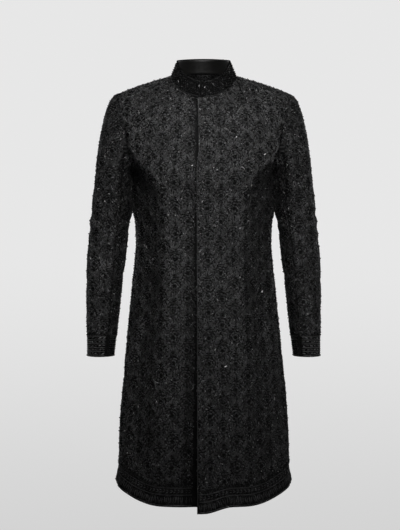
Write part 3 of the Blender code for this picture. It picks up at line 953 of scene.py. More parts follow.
# The borders' rows follow their edge: kind, height above it, pitch, turn in degrees, length, width
# and tone. Millimetres.
hemBorder = (
    ("bead", 1.6, 4.6, 0, 3.0, 3.0, 1.1),
    ("leaf", 17.0, 5.4, 90, 21.0, 3.5, 1.25),
    ("leaf", 36.5, 9.0, 24, 8.4, 3.4, 1.35),
    ("leaf", 41.5, 9.0, -24, 8.4, 3.4, 1.35),
    ("bead", 49.5, 4.4, 0, 3.3, 3.3, 0.9),
    ("bead", 53.5, 7.5, 0, 4.2, 4.2, 0.5),
)
cuffBorder = (
    ("bead", 1.6, 4.6, 0, 2.8, 2.8, 1.5),
    ("leaf", 9.0, 9.4, 14, 9.2, 3.4, 2.6),
    ("leaf", 18.5, 9.4, -14, 9.2, 3.4, 2.4),
    ("leaf", 28.0, 9.4, 14, 9.2, 3.4, 2.6),
    ("leaf", 37.5, 9.4, -14, 9.2, 3.4, 2.4),
    ("leaf", 47.0, 9.4, 14, 9.2, 3.4, 2.6),
    ("bead", 54.0, 4.6, 0, 3.2, 3.2, 1.6),
)
borderCords = {"hem": (4.2, 29.5, 46.5), "cuff": (4.2, 13.8, 23.2, 32.6, 42.0, 51.0)}
edging = {
    "stray": 0.0022,
    "cord": 0.0010,
    "cordStep": 0.006,
    "cordTone": 0.9,
    "lapTone": 0.55,  # of the cord along the lap's edge
    "lapInset": 0.0016,
}
everywhere = -1.0  # for what no border stops


def drawBorder(drawing, panel, rows, cords):
    for kind, up, pitch, turn, length, width, tone in rows:
        line = resample(alongHem(panel, up / 1000), pitch / 1000)
        for place, ahead in zip(line, np.gradient(line, axis=0)):
            angle = math.atan2(ahead[1], ahead[0]) + math.radians(turn)
            place = place + (drawing["random"].random(2) - 0.5) * edging["stray"]
            drawBead(drawing, kind, place, angle, length, width, everywhere, tone)
    for up in cords:
        line = resample(alongHem(panel, up / 1000), edging["cordStep"])
        drawCord(drawing, line, edging["cord"], everywhere, edging["cordTone"])


def addNode(tree, kind, links=(), **settings):
    made = tree.nodes.new(kind)
    for key, value in settings.items():
        setattr(made, key, value)
    for key, value in dict(links).items():
        if isinstance(value, bpy.types.NodeSocket):
            tree.links.new(value, made.inputs[key])
        else:
            made.inputs[key].default_value = value
    return made


def maths(tree, operation, *values):
    return addNode(tree, "ShaderNodeMath", dict(enumerate(values)), operation=operation).outputs[0]


def vectorMaths(tree, operation, a, b):
    links = {0: a, "Scale" if operation == "SCALE" else 1: b}
    return addNode(tree, "ShaderNodeVectorMath", links, operation=operation).outputs[0]


def newTree(kind, name, inputs, outputs):
    # an input is a name, a kind of socket and perhaps a value; an output is a name and a kind
    tree = bpy.data.node_groups.new(name, kind + "NodeTree")
    for label, socketKind, *value in inputs:
        socket = tree.interface.new_socket(label, in_out="INPUT", socket_type="NodeSocket" + socketKind)
        if value:
            socket.default_value = value[0]
    for label, socketKind in outputs:
        tree.interface.new_socket(label, in_out="OUTPUT", socket_type="NodeSocket" + socketKind)
    return tree, tree.nodes.new("NodeGroupInput").outputs


def named(tree, name, kind="FLOAT"):
    made = addNode(tree, "GeometryNodeInputNamedAttribute", {"Name": name}, data_type=kind)
    return made.outputs["Attribute"]


def compare(tree, way, a, b):
    return addNode(tree, "FunctionNodeCompare", {"A": a, "B": b}, operation=way).outputs[0]


def either(tree, *tests):
    found = tests[0]
    for test in tests[1:]:
        found = addNode(tree, "FunctionNodeBooleanMath", {0: found, 1: test}, operation="OR").outputs[0]
    return found


def layOnCloth(tree, given):
    # drops what is off the cloth, in its border or where it is bare, puts the rest on the cloth, and changes
    # its tone by the cloth's painted light and shade
    cloth = addNode(tree, "GeometryNodeObjectInfo", {"Object": given["Cloth"]}).outputs["Geometry"]
    uv = named(tree, "cut", "FLOAT_VECTOR")

    def read(value, place, kind="FLOAT_VECTOR"):
        links = {"Mesh": cloth, "Value": value, "UV Map": uv, "Sample UV": place}
        return addNode(tree, "GeometryNodeSampleUVSurface", links, data_type=kind).outputs

    position = addNode(tree, "GeometryNodeInputPosition").outputs[0]
    normal = addNode(tree, "GeometryNodeInputNormal").outputs[0]
    kept = addNode(tree, "GeometryNodeCaptureAttribute", {"Geometry": given["Geometry"]})
    kept.capture_items.new("VECTOR", "flat")
    tree.links.new(position, kept.inputs["flat"])
    flat = kept.outputs["flat"]
    place, up = read(position, flat), read(normal, flat)["Value"]
    labels = ("edgeAway", "hemAway", "bare", "rich")
    values = [read(named(tree, name), flat, "FLOAT")["Value"] for name in labels]
    off = addNode(tree, "FunctionNodeBooleanMath", {0: place["Is Valid"]}, operation="NOT").outputs[0]
    nearEdge = compare(tree, "LESS_THAN", values[0], given["Clear of edges"])
    inBorder = compare(tree, "LESS_THAN", values[1], named(tree, "above"))
    onBare = compare(tree, "GREATER_THAN", values[2], 0.5)
    dropped = either(tree, off, nearEdge, inBorder, onBare)
    links = {"Geometry": kept.outputs["Geometry"], "Selection": dropped}
    left = addNode(tree, "GeometryNodeDeleteGeometry", links, domain="POINT").outputs[0]
    raised = vectorMaths(tree, "SCALE", up, named(tree, "lift"))
    links = {"Geometry": left, "Position": place["Value"], "Offset": raised}
    laid = addNode(tree, "GeometryNodeSetPosition", links).outputs[0]
    # the tone takes the cloth's painted light and shade
    toned = maths(tree, "MULTIPLY", named(tree, "tone"), values[3])
    links = {"Geometry": laid, "Name": "tone", "Value": toned}
    stored = addNode(tree, "GeometryNodeStoreNamedAttribute", links, domain="POINT", data_type="FLOAT")
    return stored.outputs[0], flat, up, place["Value"], lambda where: read(position, where)["Value"]


geometry = (("Geometry", "Geometry"),)
clothInputs = (*geometry, ("Cloth", "Object"), ("Clear of edges", "Float"), ("Thread", "Material"))


def cordTree():
    tree, given = newTree("Geometry", "couchedCord", clothInputs, geometry)
    laid = layOnCloth(tree, given)[0]
    curves = addNode(tree, "GeometryNodeMeshToCurve", {"Mesh": laid}).outputs[0]
    thick = named(tree, "thick")
    sized = addNode(tree, "GeometryNodeSetCurveRadius", {"Curve": curves, "Radius": thick}).outputs[0]
    ring = addNode(tree, "GeometryNodeCurvePrimitiveCircle", {"Resolution": 4, "Radius": 1.0}).outputs[0]
    links = {"Curve": sized, "Profile Curve": ring, "Scale": thick, "Fill Caps": True}
    tube = addNode(tree, "GeometryNodeCurveToMesh", links).outputs[0]
    smoothed = addNode(tree, "GeometryNodeSetShadeSmooth", {"Geometry": tube}).outputs[0]
    whole = addNode(tree, "GeometryNodeRealizeInstances", {"Geometry": smoothed}).outputs[0]
    done = addNode(tree, "GeometryNodeSetMaterial", {"Geometry": whole, "Material": given["Thread"]})
    addNode(tree, "NodeGroupOutput", {"Geometry": done.outputs[0]})
    return tree


def beadTree():
    # a bead's X runs along its turn on the cut, and its Z stands off the cloth
    inputs = (*clothInputs, ("Shapes", "Collection"), ("Glass", "Material"), ("Sequin", "Material"))
    tree, given = newTree("Geometry", "sewnBeads", inputs, geometry)
    laid, flat, up, place, placeAt = layOnCloth(tree, given)
    turn = named(tree, "turn")
    links = {"X": maths(tree, "COSINE", turn), "Y": maths(tree, "SINE", turn)}
    along = addNode(tree, "ShaderNodeCombineXYZ", links).outputs[0]
    nextTo = vectorMaths(tree, "ADD", flat, vectorMaths(tree, "SCALE", along, alongStep))
    axes = {"Primary Axis": up, "Secondary Axis": vectorMaths(tree, "SUBTRACT", placeAt(nextTo), place)}
    facing = addNode(tree, "FunctionNodeAxesToRotation", axes, primary_axis="Z", secondary_axis="X")
    lean = addNode(tree, "FunctionNodeEulerToRotation", {"Euler": named(tree, "tilt", "FLOAT_VECTOR")})
    links = {"Rotation": facing.outputs[0], "Rotate By": lean.outputs[0]}
    turned = addNode(tree, "FunctionNodeRotateRotation", links, rotation_space="LOCAL")
    links = {"Collection": given["Shapes"], "Separate Children": True, "Reset Children": True}
    shapes = addNode(tree, "GeometryNodeCollectionInfo", links)
    links = {
        "Points": laid,
        "Instance": shapes.outputs[0],
        "Pick Instance": True,
        "Instance Index": named(tree, "kind", "INT"),
        "Rotation": turned.outputs[0],
        "Scale": named(tree, "size", "FLOAT_VECTOR"),
    }
    placed = addNode(tree, "GeometryNodeInstanceOnPoints", links)
    whole = addNode(tree, "GeometryNodeRealizeInstances", {"Geometry": placed.outputs[0]}).outputs[0]
    dressed = (("Glass", "LESS_THAN", "leaf"), ("Thread", "EQUAL", "leaf"), ("Sequin", "EQUAL", "sequin"))
    for label, way, kind in dressed:
        links = {2: named(tree, "kind", "INT"), 3: kinds[kind]["number"]}
        chosen = addNode(tree, "FunctionNodeCompare", links, data_type="INT", operation=way).outputs[0]
        links = {"Geometry": whole, "Selection": chosen, "Material": given[label]}
        whole = addNode(tree, "GeometryNodeSetMaterial", links).outputs[0]
    addNode(tree, "NodeGroupOutput", {"Geometry": whole})
    return tree


usedUp = ("kind", "turn", "tilt", "size", "lift", "above", "thick")
# How far a middle stands off the cloth: a share of its height, one of its radius, and metres.
sits = {"bead": 0.38, "cord": 0.5, "sequin": 0.0009}
alongStep = 0.0005  # how far along the cut a bead looks for its direction


def applied(item, tree, values, name):
    # a plain mesh of what the modifier makes; the drawing that fed it is removed
    modifier = item.modifiers.new(tree.name, "NODES")
    modifier.node_group = tree
    for socket in tree.interface.items_tree:
        if socket.in_out == "INPUT" and socket.name in values:
            modifier[socket.identifier] = values[socket.name]
    mesh = bpy.data.meshes.new_from_object(item.evaluated_get(bpy.context.evaluated_depsgraph_get()))
    flatMesh = item.data
    bpy.data.objects.remove(item)
    bpy.data.meshes.remove(flatMesh)
    for old in usedUp:
        if old in mesh.attributes:
            mesh.attributes.remove(mesh.attributes[old])
    mesh.name = name
    return linkedObject(name, mesh)


def storeValues(mesh, name, kind, values):
    attribute = mesh.attributes.new(name, kind, "POINT")
    key = "vector" if kind == "FLOAT_VECTOR" else "value"
    number = np.int32 if kind == "INT" else np.float32
    attribute.data.foreach_set(key, np.ascontiguousarray(values, number).ravel())


def linkedObject(name, mesh):
    made = bpy.data.objects.new(name, mesh)
    bpy.context.scene.collection.objects.link(made)
    return made


def beadsObject(name, drawing):
    kind, across, along, turn, roll, lean, length, width, high, above, tone = np.array(drawing["points"]).T
    none = 0 * kind
    lift = np.where(kind == kinds["leaf"]["number"], 0.0, sits["bead"] * high)
    lift = np.where(kind == kinds["sequin"]["number"], sits["sequin"], lift)
    mesh = bpy.data.meshes.new(name)
    mesh.vertices.add(len(kind))
    mesh.vertices.foreach_set("co", np.stack([across, along, none], -1).ravel())
    storeValues(mesh, "kind", "INT", kind)
    storeValues(mesh, "tilt", "FLOAT_VECTOR", np.stack([roll, lean, none], -1))
    storeValues(mesh, "size", "FLOAT_VECTOR", np.stack([length, width, high], -1))
    for label, values in (("turn", turn), ("above", above), ("tone", tone), ("lift", lift)):
        storeValues(mesh, label, "FLOAT", values)
    return linkedObject(name, mesh)


def cordsObject(name, drawing):
    places, edges, values = [], [], []
    for line, radius, band, tone in drawing["cords"]:
        first = len(places)
        places += [(u, v, 0) for u, v in line]
        edges += [(first + k, first + k + 1) for k in range(len(line) - 1)]
        lift = sits["cord"] * radius
        values += [(radius, lift, band, light) for light in np.broadcast_to(tone, len(line))]
    mesh = bpy.data.meshes.new(name)
    mesh.from_pydata(places, edges, [])
    for label, column in zip(("thick", "lift", "above", "tone"), np.array(values).T):
        storeValues(mesh, label, "FLOAT", column)
    return linkedObject(name, mesh)


def shapeObject(name, places, faces, flatShaded=True):
    mesh = bpy.data.meshes.new(name)
    mesh.from_pydata(places, [], faces)
    layer = mesh.uv_layers.new(name="shape")
    for loop in mesh.loops:
        x, y, _ = places[loop.vertex_index]
        layer.data[loop.index].uv = (x + 0.5, y + 0.5)
    mesh.shade_flat() if flatShaded else mesh.shade_smooth()
    made = bpy.data.objects.new(name, mesh)
    beadShapes.objects.link(made)
    return made


def lensShape(sides, name):
    # a many-sided double cone, one unit across and high
    angles = [2 * math.pi * k / sides for k in range(sides)]
    places = [(0.5 * math.cos(a), 0.5 * math.sin(a), 0) for a in angles] + [(0, 0, 0.5), (0, 0, -0.5)]
    faces = []
    for k in range(sides):
        faces += [(k, (k + 1) % sides, sides), ((k + 1) % sides, k, sides + 1)]
    return shapeObject(name, places, faces)


def bugleShape(name):
    ring = ((0.5, 0.5), (-0.5, 0.5), (-0.5, -0.5), (0.5, -0.5))
    places = [(end, y, z) for end in (-0.5, 0.5) for y, z in ring]
    sides = [(k, (k + 1) % 4, (k + 1) % 4 + 4, k + 4) for k in range(4)]
    return shapeObject(name, places, [(3, 2, 1, 0), (4, 5, 6, 7)] + sides)


def leafShape(name):
    # a domed stitched leaf, one unit long and wide, lying on its flat side
    rim = ((-0.5, 0.0), (-0.22, 0.40), (0.12, 0.46), (0.5, 0.0), (0.12, -0.46), (-0.22, -0.40))
    places = [(x, y, -0.15) for x, y in rim] + [(-0.16, 0, 0.62), (0.18, 0, 0.56)]
    top = [(0, 6, 1), (1, 6, 7, 2), (2, 7, 3), (3, 7, 4), (4, 7, 6, 5), (5, 6, 0)]
    return shapeObject(name, places, top + [(0, 1, 2, 3, 4, 5)], False)


beadShapes = bpy.data.collections.new("beadShapes")
bpy.context.scene.collection.children.link(beadShapes)
lensShape(5, "0bead")
bugleShape("1bugle")
leafShape("2leaf")
lensShape(6, "3sequin")


look = {
    "ground": (0.0016, 0.0016, 0.0017),
    "worked": (0.0400, 0.0400, 0.0406),
    "thread": (0.0640, 0.0640, 0.0650),
    "glass": (0.0060, 0.0060, 0.0063),
    "sequin": (0.2600, 0.2600, 0.2640),
    "facing": (0.0060, 0.0058, 0.0052),
    "clothGloss": 0.16,
    "threadGloss": 0.6,
    "clothRough": 0.82,
    "workedRough": 0.44,
    "threadRough": 0.40,
    "glassRough": 0.16,
    "sequinRough": 0.30,
    "facingRough": 0.42,
    "stitchRise": 0.0013,  # height of the curling stitches
    "weaveShare": 0.10,  # height of the weave, as a share of theirs
    "ribRise": 0.0003,
    # painted shade in the ribs' troughs and a painted highlight on their crests
    "ribShadeAndHighlight": (0.75, 1.1),
    "patchScale": 90.0,  # patches of lighter and darker stitching
    "patchTones": (0.60, 1.25),
    "patchBetween": (0.35, 0.65),  # the part of the noise that the tones spread over
    "beadScale": 260.0,
    "beadTones": (0.7, 1.3),
    "beadBetween": (0.3, 0.7),
    "dulled": 0.34,  # roughness added to the beads of least tone
    "dulledBetween": (0.2, 1.0),
}


def newMaterial(name, color, roughness, gloss=0.5, **sockets):
    made = bpy.data.materials.new(name)
    made.use_nodes = True
    shader = made.node_tree.nodes["Principled BSDF"]
    shader.inputs["Base Color"].default_value = (*color, 1)
    shader.inputs["Roughness"].default_value = roughness
    shader.inputs["Specular IOR Level"].default_value = gloss
    for key, value in sockets.items():
        shader.inputs[key.replace("_", " ")].default_value = value
    return made, made.node_tree, shader


def noised(tree, place, scale, detail, output="Fac"):
    links = {"Vector": place, "Scale": scale, "Detail": detail}
    return addNode(tree, "ShaderNodeTexNoise", links).outputs[output]


def attributeAt(tree, name):
    return addNode(tree, "ShaderNodeAttribute", attribute_name=name).outputs["Fac"]


def bumped(tree, shader, height, strength, distance):
    links = {"Height": height, "Strength": strength, "Distance": distance}
    tree.links.new(addNode(tree, "ShaderNodeBump", links).outputs[0], shader.inputs["Normal"])


def ramped(tree, value, low, high, fromLow=0.0, fromHigh=1.0):
    links = {"Value": value, "From Min": fromLow, "From Max": fromHigh, "To Min": low, "To Max": high}
    return addNode(tree, "ShaderNodeMapRange", links, interpolation_type="SMOOTHSTEP").outputs[0]


def tinted(tree, shader, color, value):
    # the base colour is one colour made lighter or darker by a value
    tree.links.new(vectorMaths(tree, "SCALE", color, value), shader.inputs["Base Color"])


heightOut = (("Height", "Float"),)


def weaveGroup():
    # a plain weave: a height that rises and falls along both threads
    inputs = (("Cut", "Vector"), ("Thread pitch", "Float", 0.0009))
    tree, given = newTree("Shader", "silkWeave", inputs, heightOut)
    parts = addNode(tree, "ShaderNodeSeparateXYZ", {0: given["Cut"]}).outputs
    waves = []
    for part in parts[:2]:
        phase = maths(tree, "DIVIDE", part, given["Thread pitch"])
        waves.append(maths(tree, "SINE", maths(tree, "MULTIPLY", phase, math.pi)))
    height = maths(tree, "ABSOLUTE", maths(tree, "MULTIPLY", *waves))
    addNode(tree, "NodeGroupOutput", {"Height": height})
    return tree


def jaalGroup():
    # how light the work is at a place, with painted light above the diamonds' sides and painted shade below
    # them, nothing at a flower's heart, and the height of the padding
    inputs = (
        ("Cut", "Vector"),
        ("Half width", "Float", jaal["across"]),
        ("Half height", "Float", jaal["up"]),
        ("Bare centre", "Float", 0.975),
        ("Bare rim", "Float", 0.09),
    )
    tree, given = newTree("Shader", "jaalWork", inputs, (("Worked", "Float"), ("Relief", "Float")))
    parts = addNode(tree, "ShaderNodeSeparateXYZ", {0: given["Cut"]}).outputs
    p = maths(tree, "DIVIDE", parts[0], given["Half width"])
    q = maths(tree, "DIVIDE", parts[1], given["Half height"])
    lit = []
    for lift in (jaal["lightLift"], -jaal["darkDrop"]):
        raised = maths(tree, "SUBTRACT", q, lift)
        apart = []
        for way in ("SUBTRACT", "ADD"):
            half = maths(tree, "MULTIPLY", maths(tree, way, p, raised), 0.5)
            off = maths(tree, "SUBTRACT", half, maths(tree, "ROUND", half))
            apart.append(maths(tree, "ABSOLUTE", off))
        lit.append(ramped(tree, maths(tree, "MAXIMUM", *apart), 0.0, 1.0, *jaal["litBetween"]))
    # painted shade below the diamonds' sides, then painted light above them
    tone = maths(tree, "MULTIPLY_ADD", lit[1], jaal["paintedShadeTone"] - jaal["tone"], jaal["tone"])
    more = maths(tree, "MULTIPLY", maths(tree, "SUBTRACT", jaal["paintedLightTone"], tone), lit[0])
    waves = [maths(tree, "COSINE", maths(tree, "MULTIPLY", way, math.pi)) for way in (p, q)]
    centre = maths(tree, "MULTIPLY", *waves)
    bareFrom = maths(tree, "SUBTRACT", given["Bare centre"], given["Bare rim"])
    bare = ramped(tree, centre, 1.0, 0.0, bareFrom, given["Bare centre"])
    worked = maths(tree, "MULTIPLY", maths(tree, "ADD", tone, more), bare)
    padding = maths(tree, "MULTIPLY", maths(tree, "SUBTRACT", 1.0, centre), jaal["relief"])
    addNode(tree, "NodeGroupOutput", {"Worked": worked, "Relief": padding})
    return tree


def curledGroup():
    # fine curling stitches: the borders between warped cells stand up
    inputs = (
        ("Cut", "Vector"),
        ("Cells a metre", "Float", 105.0),
        ("Shape", "Vector", (1.0, 1.8, 1.0)),
        ("Curl", "Float", 0.012),
        ("Curls a metre", "Float", 95.0),
        ("Ridge", "Float", 0.07),
        ("Foot", "Float", 0.27),
    )
    tree, given = newTree("Shader", "curledStitch", inputs, heightOut)
    noise = noised(tree, given["Cut"], given["Curls a metre"], 1.5, "Color")
    drift = vectorMaths(tree, "SUBTRACT", noise, (0.5, 0.5, 0.5))
    bent = vectorMaths(tree, "ADD", given["Cut"], vectorMaths(tree, "SCALE", drift, given["Curl"]))
    shaped = vectorMaths(tree, "MULTIPLY", bent, given["Shape"])
    links = {"Vector": shaped, "Scale": given["Cells a metre"]}
    cells = addNode(tree, "ShaderNodeTexVoronoi", links, feature="DISTANCE_TO_EDGE", voronoi_dimensions="2D")
    height = ramped(tree, cells.outputs["Distance"], 1.0, 0.0, given["Ridge"], given["Foot"])
    addNode(tree, "NodeGroupOutput", {"Height": height})
    return tree


def satinGroup():
    # threads laid side by side across a leaf, as ribs
    inputs = (("Place", "Vector"), ("Threads", "Float", 22.0), ("Lean", "Float", 0.4))
    tree, given = newTree("Shader", "satinRibs", inputs, heightOut)
    parts = addNode(tree, "ShaderNodeSeparateXYZ", {0: given["Place"]}).outputs
    off = maths(tree, "ABSOLUTE", maths(tree, "SUBTRACT", parts[1], 0.5))
    lean = maths(tree, "MULTIPLY", off, given["Lean"])
    phase = maths(tree, "MULTIPLY", maths(tree, "ADD", parts[0], lean), given["Threads"])
    wave = maths(tree, "SINE", maths(tree, "MULTIPLY", phase, 2 * math.pi))
    addNode(tree, "NodeGroupOutput", {"Height": maths(tree, "MULTIPLY_ADD", wave, 0.5, 0.5)})
    return tree


shared = {"weave": weaveGroup(), "jaal": jaalGroup(), "curled": curledGroup(), "satin": satinGroup()}


def grouped(tree, name, output, links):
    return addNode(tree, "ShaderNodeGroup", links, node_tree=shared[name]).outputs[output]


def clothMaterial(name, patterned=True):
    # black silk, covered with curling stitches except at the diamonds' centres and in plain strips, their
    # lightness carrying painted light and shade
    made, tree, shader = newMaterial(name, look["ground"], look["clothRough"], look["clothGloss"])
    cut = addNode(tree, "ShaderNodeUVMap", uv_map="cut").outputs[0]
    # the worked attribute carries painted shade and painted light
    worked = attributeAt(tree, "worked")
    if patterned:
        worked = maths(tree, "MULTIPLY", worked, grouped(tree, "jaal", "Worked", {"Cut": cut}))
    curled = grouped(tree, "curled", "Height", {"Cut": cut})
    stitched = maths(tree, "MULTIPLY", curled, worked)
    noise = noised(tree, cut, look["patchScale"], 3.0)
    patch = ramped(tree, noise, *look["patchTones"], *look["patchBetween"])
    light = maths(tree, "MULTIPLY", stitched, patch)
    blend = addNode(tree, "ShaderNodeMix", {"Factor": light}, data_type="RGBA")
    blend.inputs[6].default_value = (*look["ground"], 1)
    blend.inputs[7].default_value = (*look["worked"], 1)
    tree.links.new(blend.outputs[2], shader.inputs["Base Color"])
    rough = ramped(tree, light, look["clothRough"], look["workedRough"])
    tree.links.new(rough, shader.inputs["Roughness"])
    weave = grouped(tree, "weave", "Height", {"Cut": cut})
    height = maths(tree, "MULTIPLY_ADD", weave, look["weaveShare"], stitched)
    if patterned:
        padding = grouped(tree, "jaal", "Relief", {"Cut": cut})
        height = maths(tree, "MULTIPLY_ADD", padding, 1 / look["stitchRise"], height)
    bumped(tree, shader, height, 1.0, look["stitchRise"])
    return made


def threadMaterial():
    # silk thread: ribs across each leaf with painted shade in the troughs between threads, a soft gloss, and
    # every stitch a little lighter or darker, at random and by painted light and shade
    finish = (look["thread"], look["threadRough"], look["threadGloss"])
    made, tree, shader = newMaterial("silkThread", *finish)
    place = addNode(tree, "ShaderNodeUVMap", uv_map="shape").outputs[0]
    ribs = grouped(tree, "satin", "Height", {"Place": place})
    # painted shade darkens the troughs between threads; the tone carries painted light and shade
    shade = maths(tree, "MULTIPLY", attributeAt(tree, "tone"), ramped(tree, ribs, *look["ribShadeAndHighlight"]))
    tinted(tree, shader, look["thread"], shade)
    bumped(tree, shader, ribs, 0.6, look["ribRise"])
    return made


def plainMaterial(name, label, wander, toned=True, **sockets):
    # a finish whose roughness wanders a little, and for beads is duller where their tone is low, which
    # painted shade lowers
    color, roughness = look[label], look[label + "Rough"]
    made, tree, shader = newMaterial(name, color, roughness, **sockets)
    noise = noised(tree, addNode(tree, "ShaderNodeTexCoord").outputs["Object"], look["beadScale"], 1.0)
    rough = ramped(tree, noise, roughness - wander, roughness + wander, *look["beadBetween"])
    if toned:
        dulled = ramped(tree, attributeAt(tree, "tone"), look["dulled"], 0.0, *look["dulledBetween"])
        rough = maths(tree, "ADD", rough, dulled)
    tree.links.new(rough, shader.inputs["Roughness"])
    tinted(tree, shader, color, ramped(tree, noise, *look["beadTones"], *look["beadBetween"]))
    return made


materials = {
    "cloth": clothMaterial("embroideredSilk"),
    "collar": clothMaterial("beadedGround", patterned=False),
    "facing": plainMaterial("facingSatin", "facing", 0.05, toned=False, Sheen_Weight=0.2),
    "thread": threadMaterial(),
    "glass": plainMaterial("blackGlassBeads", "glass", 0.08, Coat_Weight=0.5, Coat_Roughness=0.22),
    "sequin": plainMaterial("blackSequins", "sequin", 0.10, Metallic=0.55),
}
print("mixed", len(materials), "materials")


beadwork = {
    "clearOfEdges": 0.0014,
    "hemBand": 0.057,
    "cuffBand": 0.058,
    "richFront": 1.0,
    "richBack": 0.35,
    "richSleeve": 1.0,
    "richUnder": 0.5,
    "sideShade": 0.66,  # share by which painted shade darkens the work at the sides, inside the arms and at the underarm
    "innerArmShade": 0.82,
    "thinUnderarm": 0.94,
    "skirtShadeEased": 0.30,  # share of the sides' painted shade that is taken off down the skirt
    "shoulder": 0.16,  # share by which painted shade darkens the tops of the shoulders
    "outerChestLight": 0.30,  # share of painted light added towards the armholes
    "sleeveHeadShade": 0.66,  # share of tone kept at the sleeves' heads, under painted shade
    "vary": 0.90,  # how far the stitches' tones spread
    "varySleeve": 1.70,
    "hemWorked": 0.72,  # how thickly the cloth itself is stitched in the borders
    "cuffWorked": 0.95,
    "borderSoft": 0.006,
    "collarWorked": 0.02,
}
# Where painted shade darkens the work, and painted light lightens it towards the armholes: the start or the
# end of each change, and its width. They are metres from the neck or the centre, but for armSide, innerArm
# and side, which say how far the cloth faces sideways.
lightAndShadeZones = {
    "underarmTop": (-0.215, 0.03),
    "underarmEnd": (-0.42, 0.08),
    "underarmSide": (0.150, 0.022),
    "armSide": (0.05, 0.35),
    "innerArm": (0.30, 0.38),
    "sleeveHeadShade": (-0.10, 0.55),
    "outerChestLight": (0.115, 0.05),
    "chestEnd": (-0.27, 0.06),
    "shoulder": (-0.105, 0.045),
    "side": (0.36, 0.42),
    "sideTop": (-0.20, 0.06),
    "skirtTop": (-0.42, 0.35),
}
collarWork = {
    "pitch": 0.0057,
    "stray": 0.0018,
    "polished": 0.14,  # share of the beads, and their tone
    "polishedTone": 1.2,
    "dullTone": 0.08,
    "cord": 0.0012,
    "cordInset": 0.0016,
    "cordStep": 0.004,
    "cordTone": 0.12,
    "kinds": ("bead", "bugle", "bead"),
    "sizes": {"bead": (3.0, 3.0), "bugle": (4.8, 1.8)},
}


def facesOut(panel):
    # whether the panel's grid turns, from across to down, the way it does when seen from outside
    rows, columns = panel["cut"].shape[:2]
    return np.dot(middleTurn(panel["points"]), panel["away"][rows // 2, columns // 2]) > 0


def sheetObject(name, panel):
    # the outer face of a panel, with its flat cut as a UV map
    rows, columns = panel["cut"].shape[:2]
    index = np.arange(rows * columns).reshape(rows, columns)
    corners = (index[:-1, :-1], index[:-1, 1:], index[1:, 1:], index[1:, :-1])
    quads = np.stack(corners, -1).reshape(-1, 4)
    if not facesOut(panel):
        quads = quads[:, ::-1]
    mesh = bpy.data.meshes.new(name)
    mesh.from_pydata(panel["points"].reshape(-1, 3).tolist(), [], quads.tolist())
    layer = mesh.uv_layers.new(name="cut")
    corners = np.zeros(len(mesh.loops), np.int32)
    mesh.loops.foreach_get("vertex_index", corners)
    layer.data.foreach_set("uv", panel["cut"].reshape(-1, 2)[corners].astype(np.float32).ravel())
    for label in ("edgeAway", "hemAway", "bare", "rich", "worked"):
        storeValues(mesh, label, "FLOAT", panel[label].ravel())
    mesh.shade_smooth()
    return linkedObject(name, mesh)


def shellObject(name, sheet, thickness, material):
    item = linkedObject(name, sheet.data.copy())
    solid = item.modifiers.new("cloth", "SOLIDIFY")
    solid.thickness, solid.offset = thickness, -1.0
    mesh = bpy.data.meshes.new_from_object(item.evaluated_get(bpy.context.evaluated_depsgraph_get()))
    for label in ("edgeAway", "hemAway", "bare", "rich"):
        mesh.attributes.remove(mesh.attributes[label])
    mesh.materials.clear()
    mesh.materials.append(material)
    item.modifiers.clear()
    item.data = mesh
    return item


def drawCollar(drawing, cut):
    # close rows of beads and bugles over the whole collar, with a cord along each edge
    random, pitch = drawing["random"], collarWork["pitch"]
    low, high = cut.min((0, 1)), cut.max((0, 1))
    for i in range(int((high[0] - low[0]) / pitch) + 1):
        for j in range(int((high[1] - low[1]) / pitch) + 1):
            place = low + np.array([i + 0.5 * (j % 2), j]) * pitch
            place = place + (random.random(2) - 0.5) * collarWork["stray"]
            kind = collarWork["kinds"][int(random.random() * len(collarWork["kinds"]))]
            polished = random.random() < collarWork["polished"]
            tone = collarWork["polishedTone" if polished else "dullTone"]
            sizes = collarWork["sizes"][kind]
            drawBead(drawing, kind, place, random.random() * math.pi, *sizes, everywhere, tone)
    for edge, inner in ((cut[0], cut[1]), (cut[-1], cut[-2])):
        line = resample(edge + unit(inner - edge) * collarWork["cordInset"], collarWork["cordStep"])
        drawCord(drawing, line, collarWork["cord"], everywhere, collarWork["cordTone"])


def drawPanel(name, panel):
    isSleeve = name.startswith("sleeve")
    vary = beadwork["varySleeve" if isSleeve else "vary"]
    hand = 1 if facesOut(panel) == (middleTurn(panel["cut"]) > 0) else -1
    drawing = newDrawing(jaal["seed"] + len(name), hand, vary)
    if name == "collar":
        drawCollar(drawing, panel["cut"])
        return drawing
    rich = beadwork["richSleeve" if isSleeve else "richBack" if name == "back" else "richFront"]
    rich = beadwork["richUnder"] if name.endswith("under") else rich
    band = beadwork["cuffBand" if isSleeve else "hemBand"]
    drawJaal(drawing, panel["cut"], band, rich)
    rows, cords = (cuffBorder, borderCords["cuff"]) if isSleeve else (hemBorder, borderCords["hem"])
    drawBorder(drawing, panel, rows, cords)
    if name == "front_left":
        line = panel["cut"][:, 0] + np.array([edging["lapInset"], 0.0])
        drawCord(drawing, resample(line, edging["cordStep"]), edging["cord"], everywhere, edging["lapTone"])
    return drawing


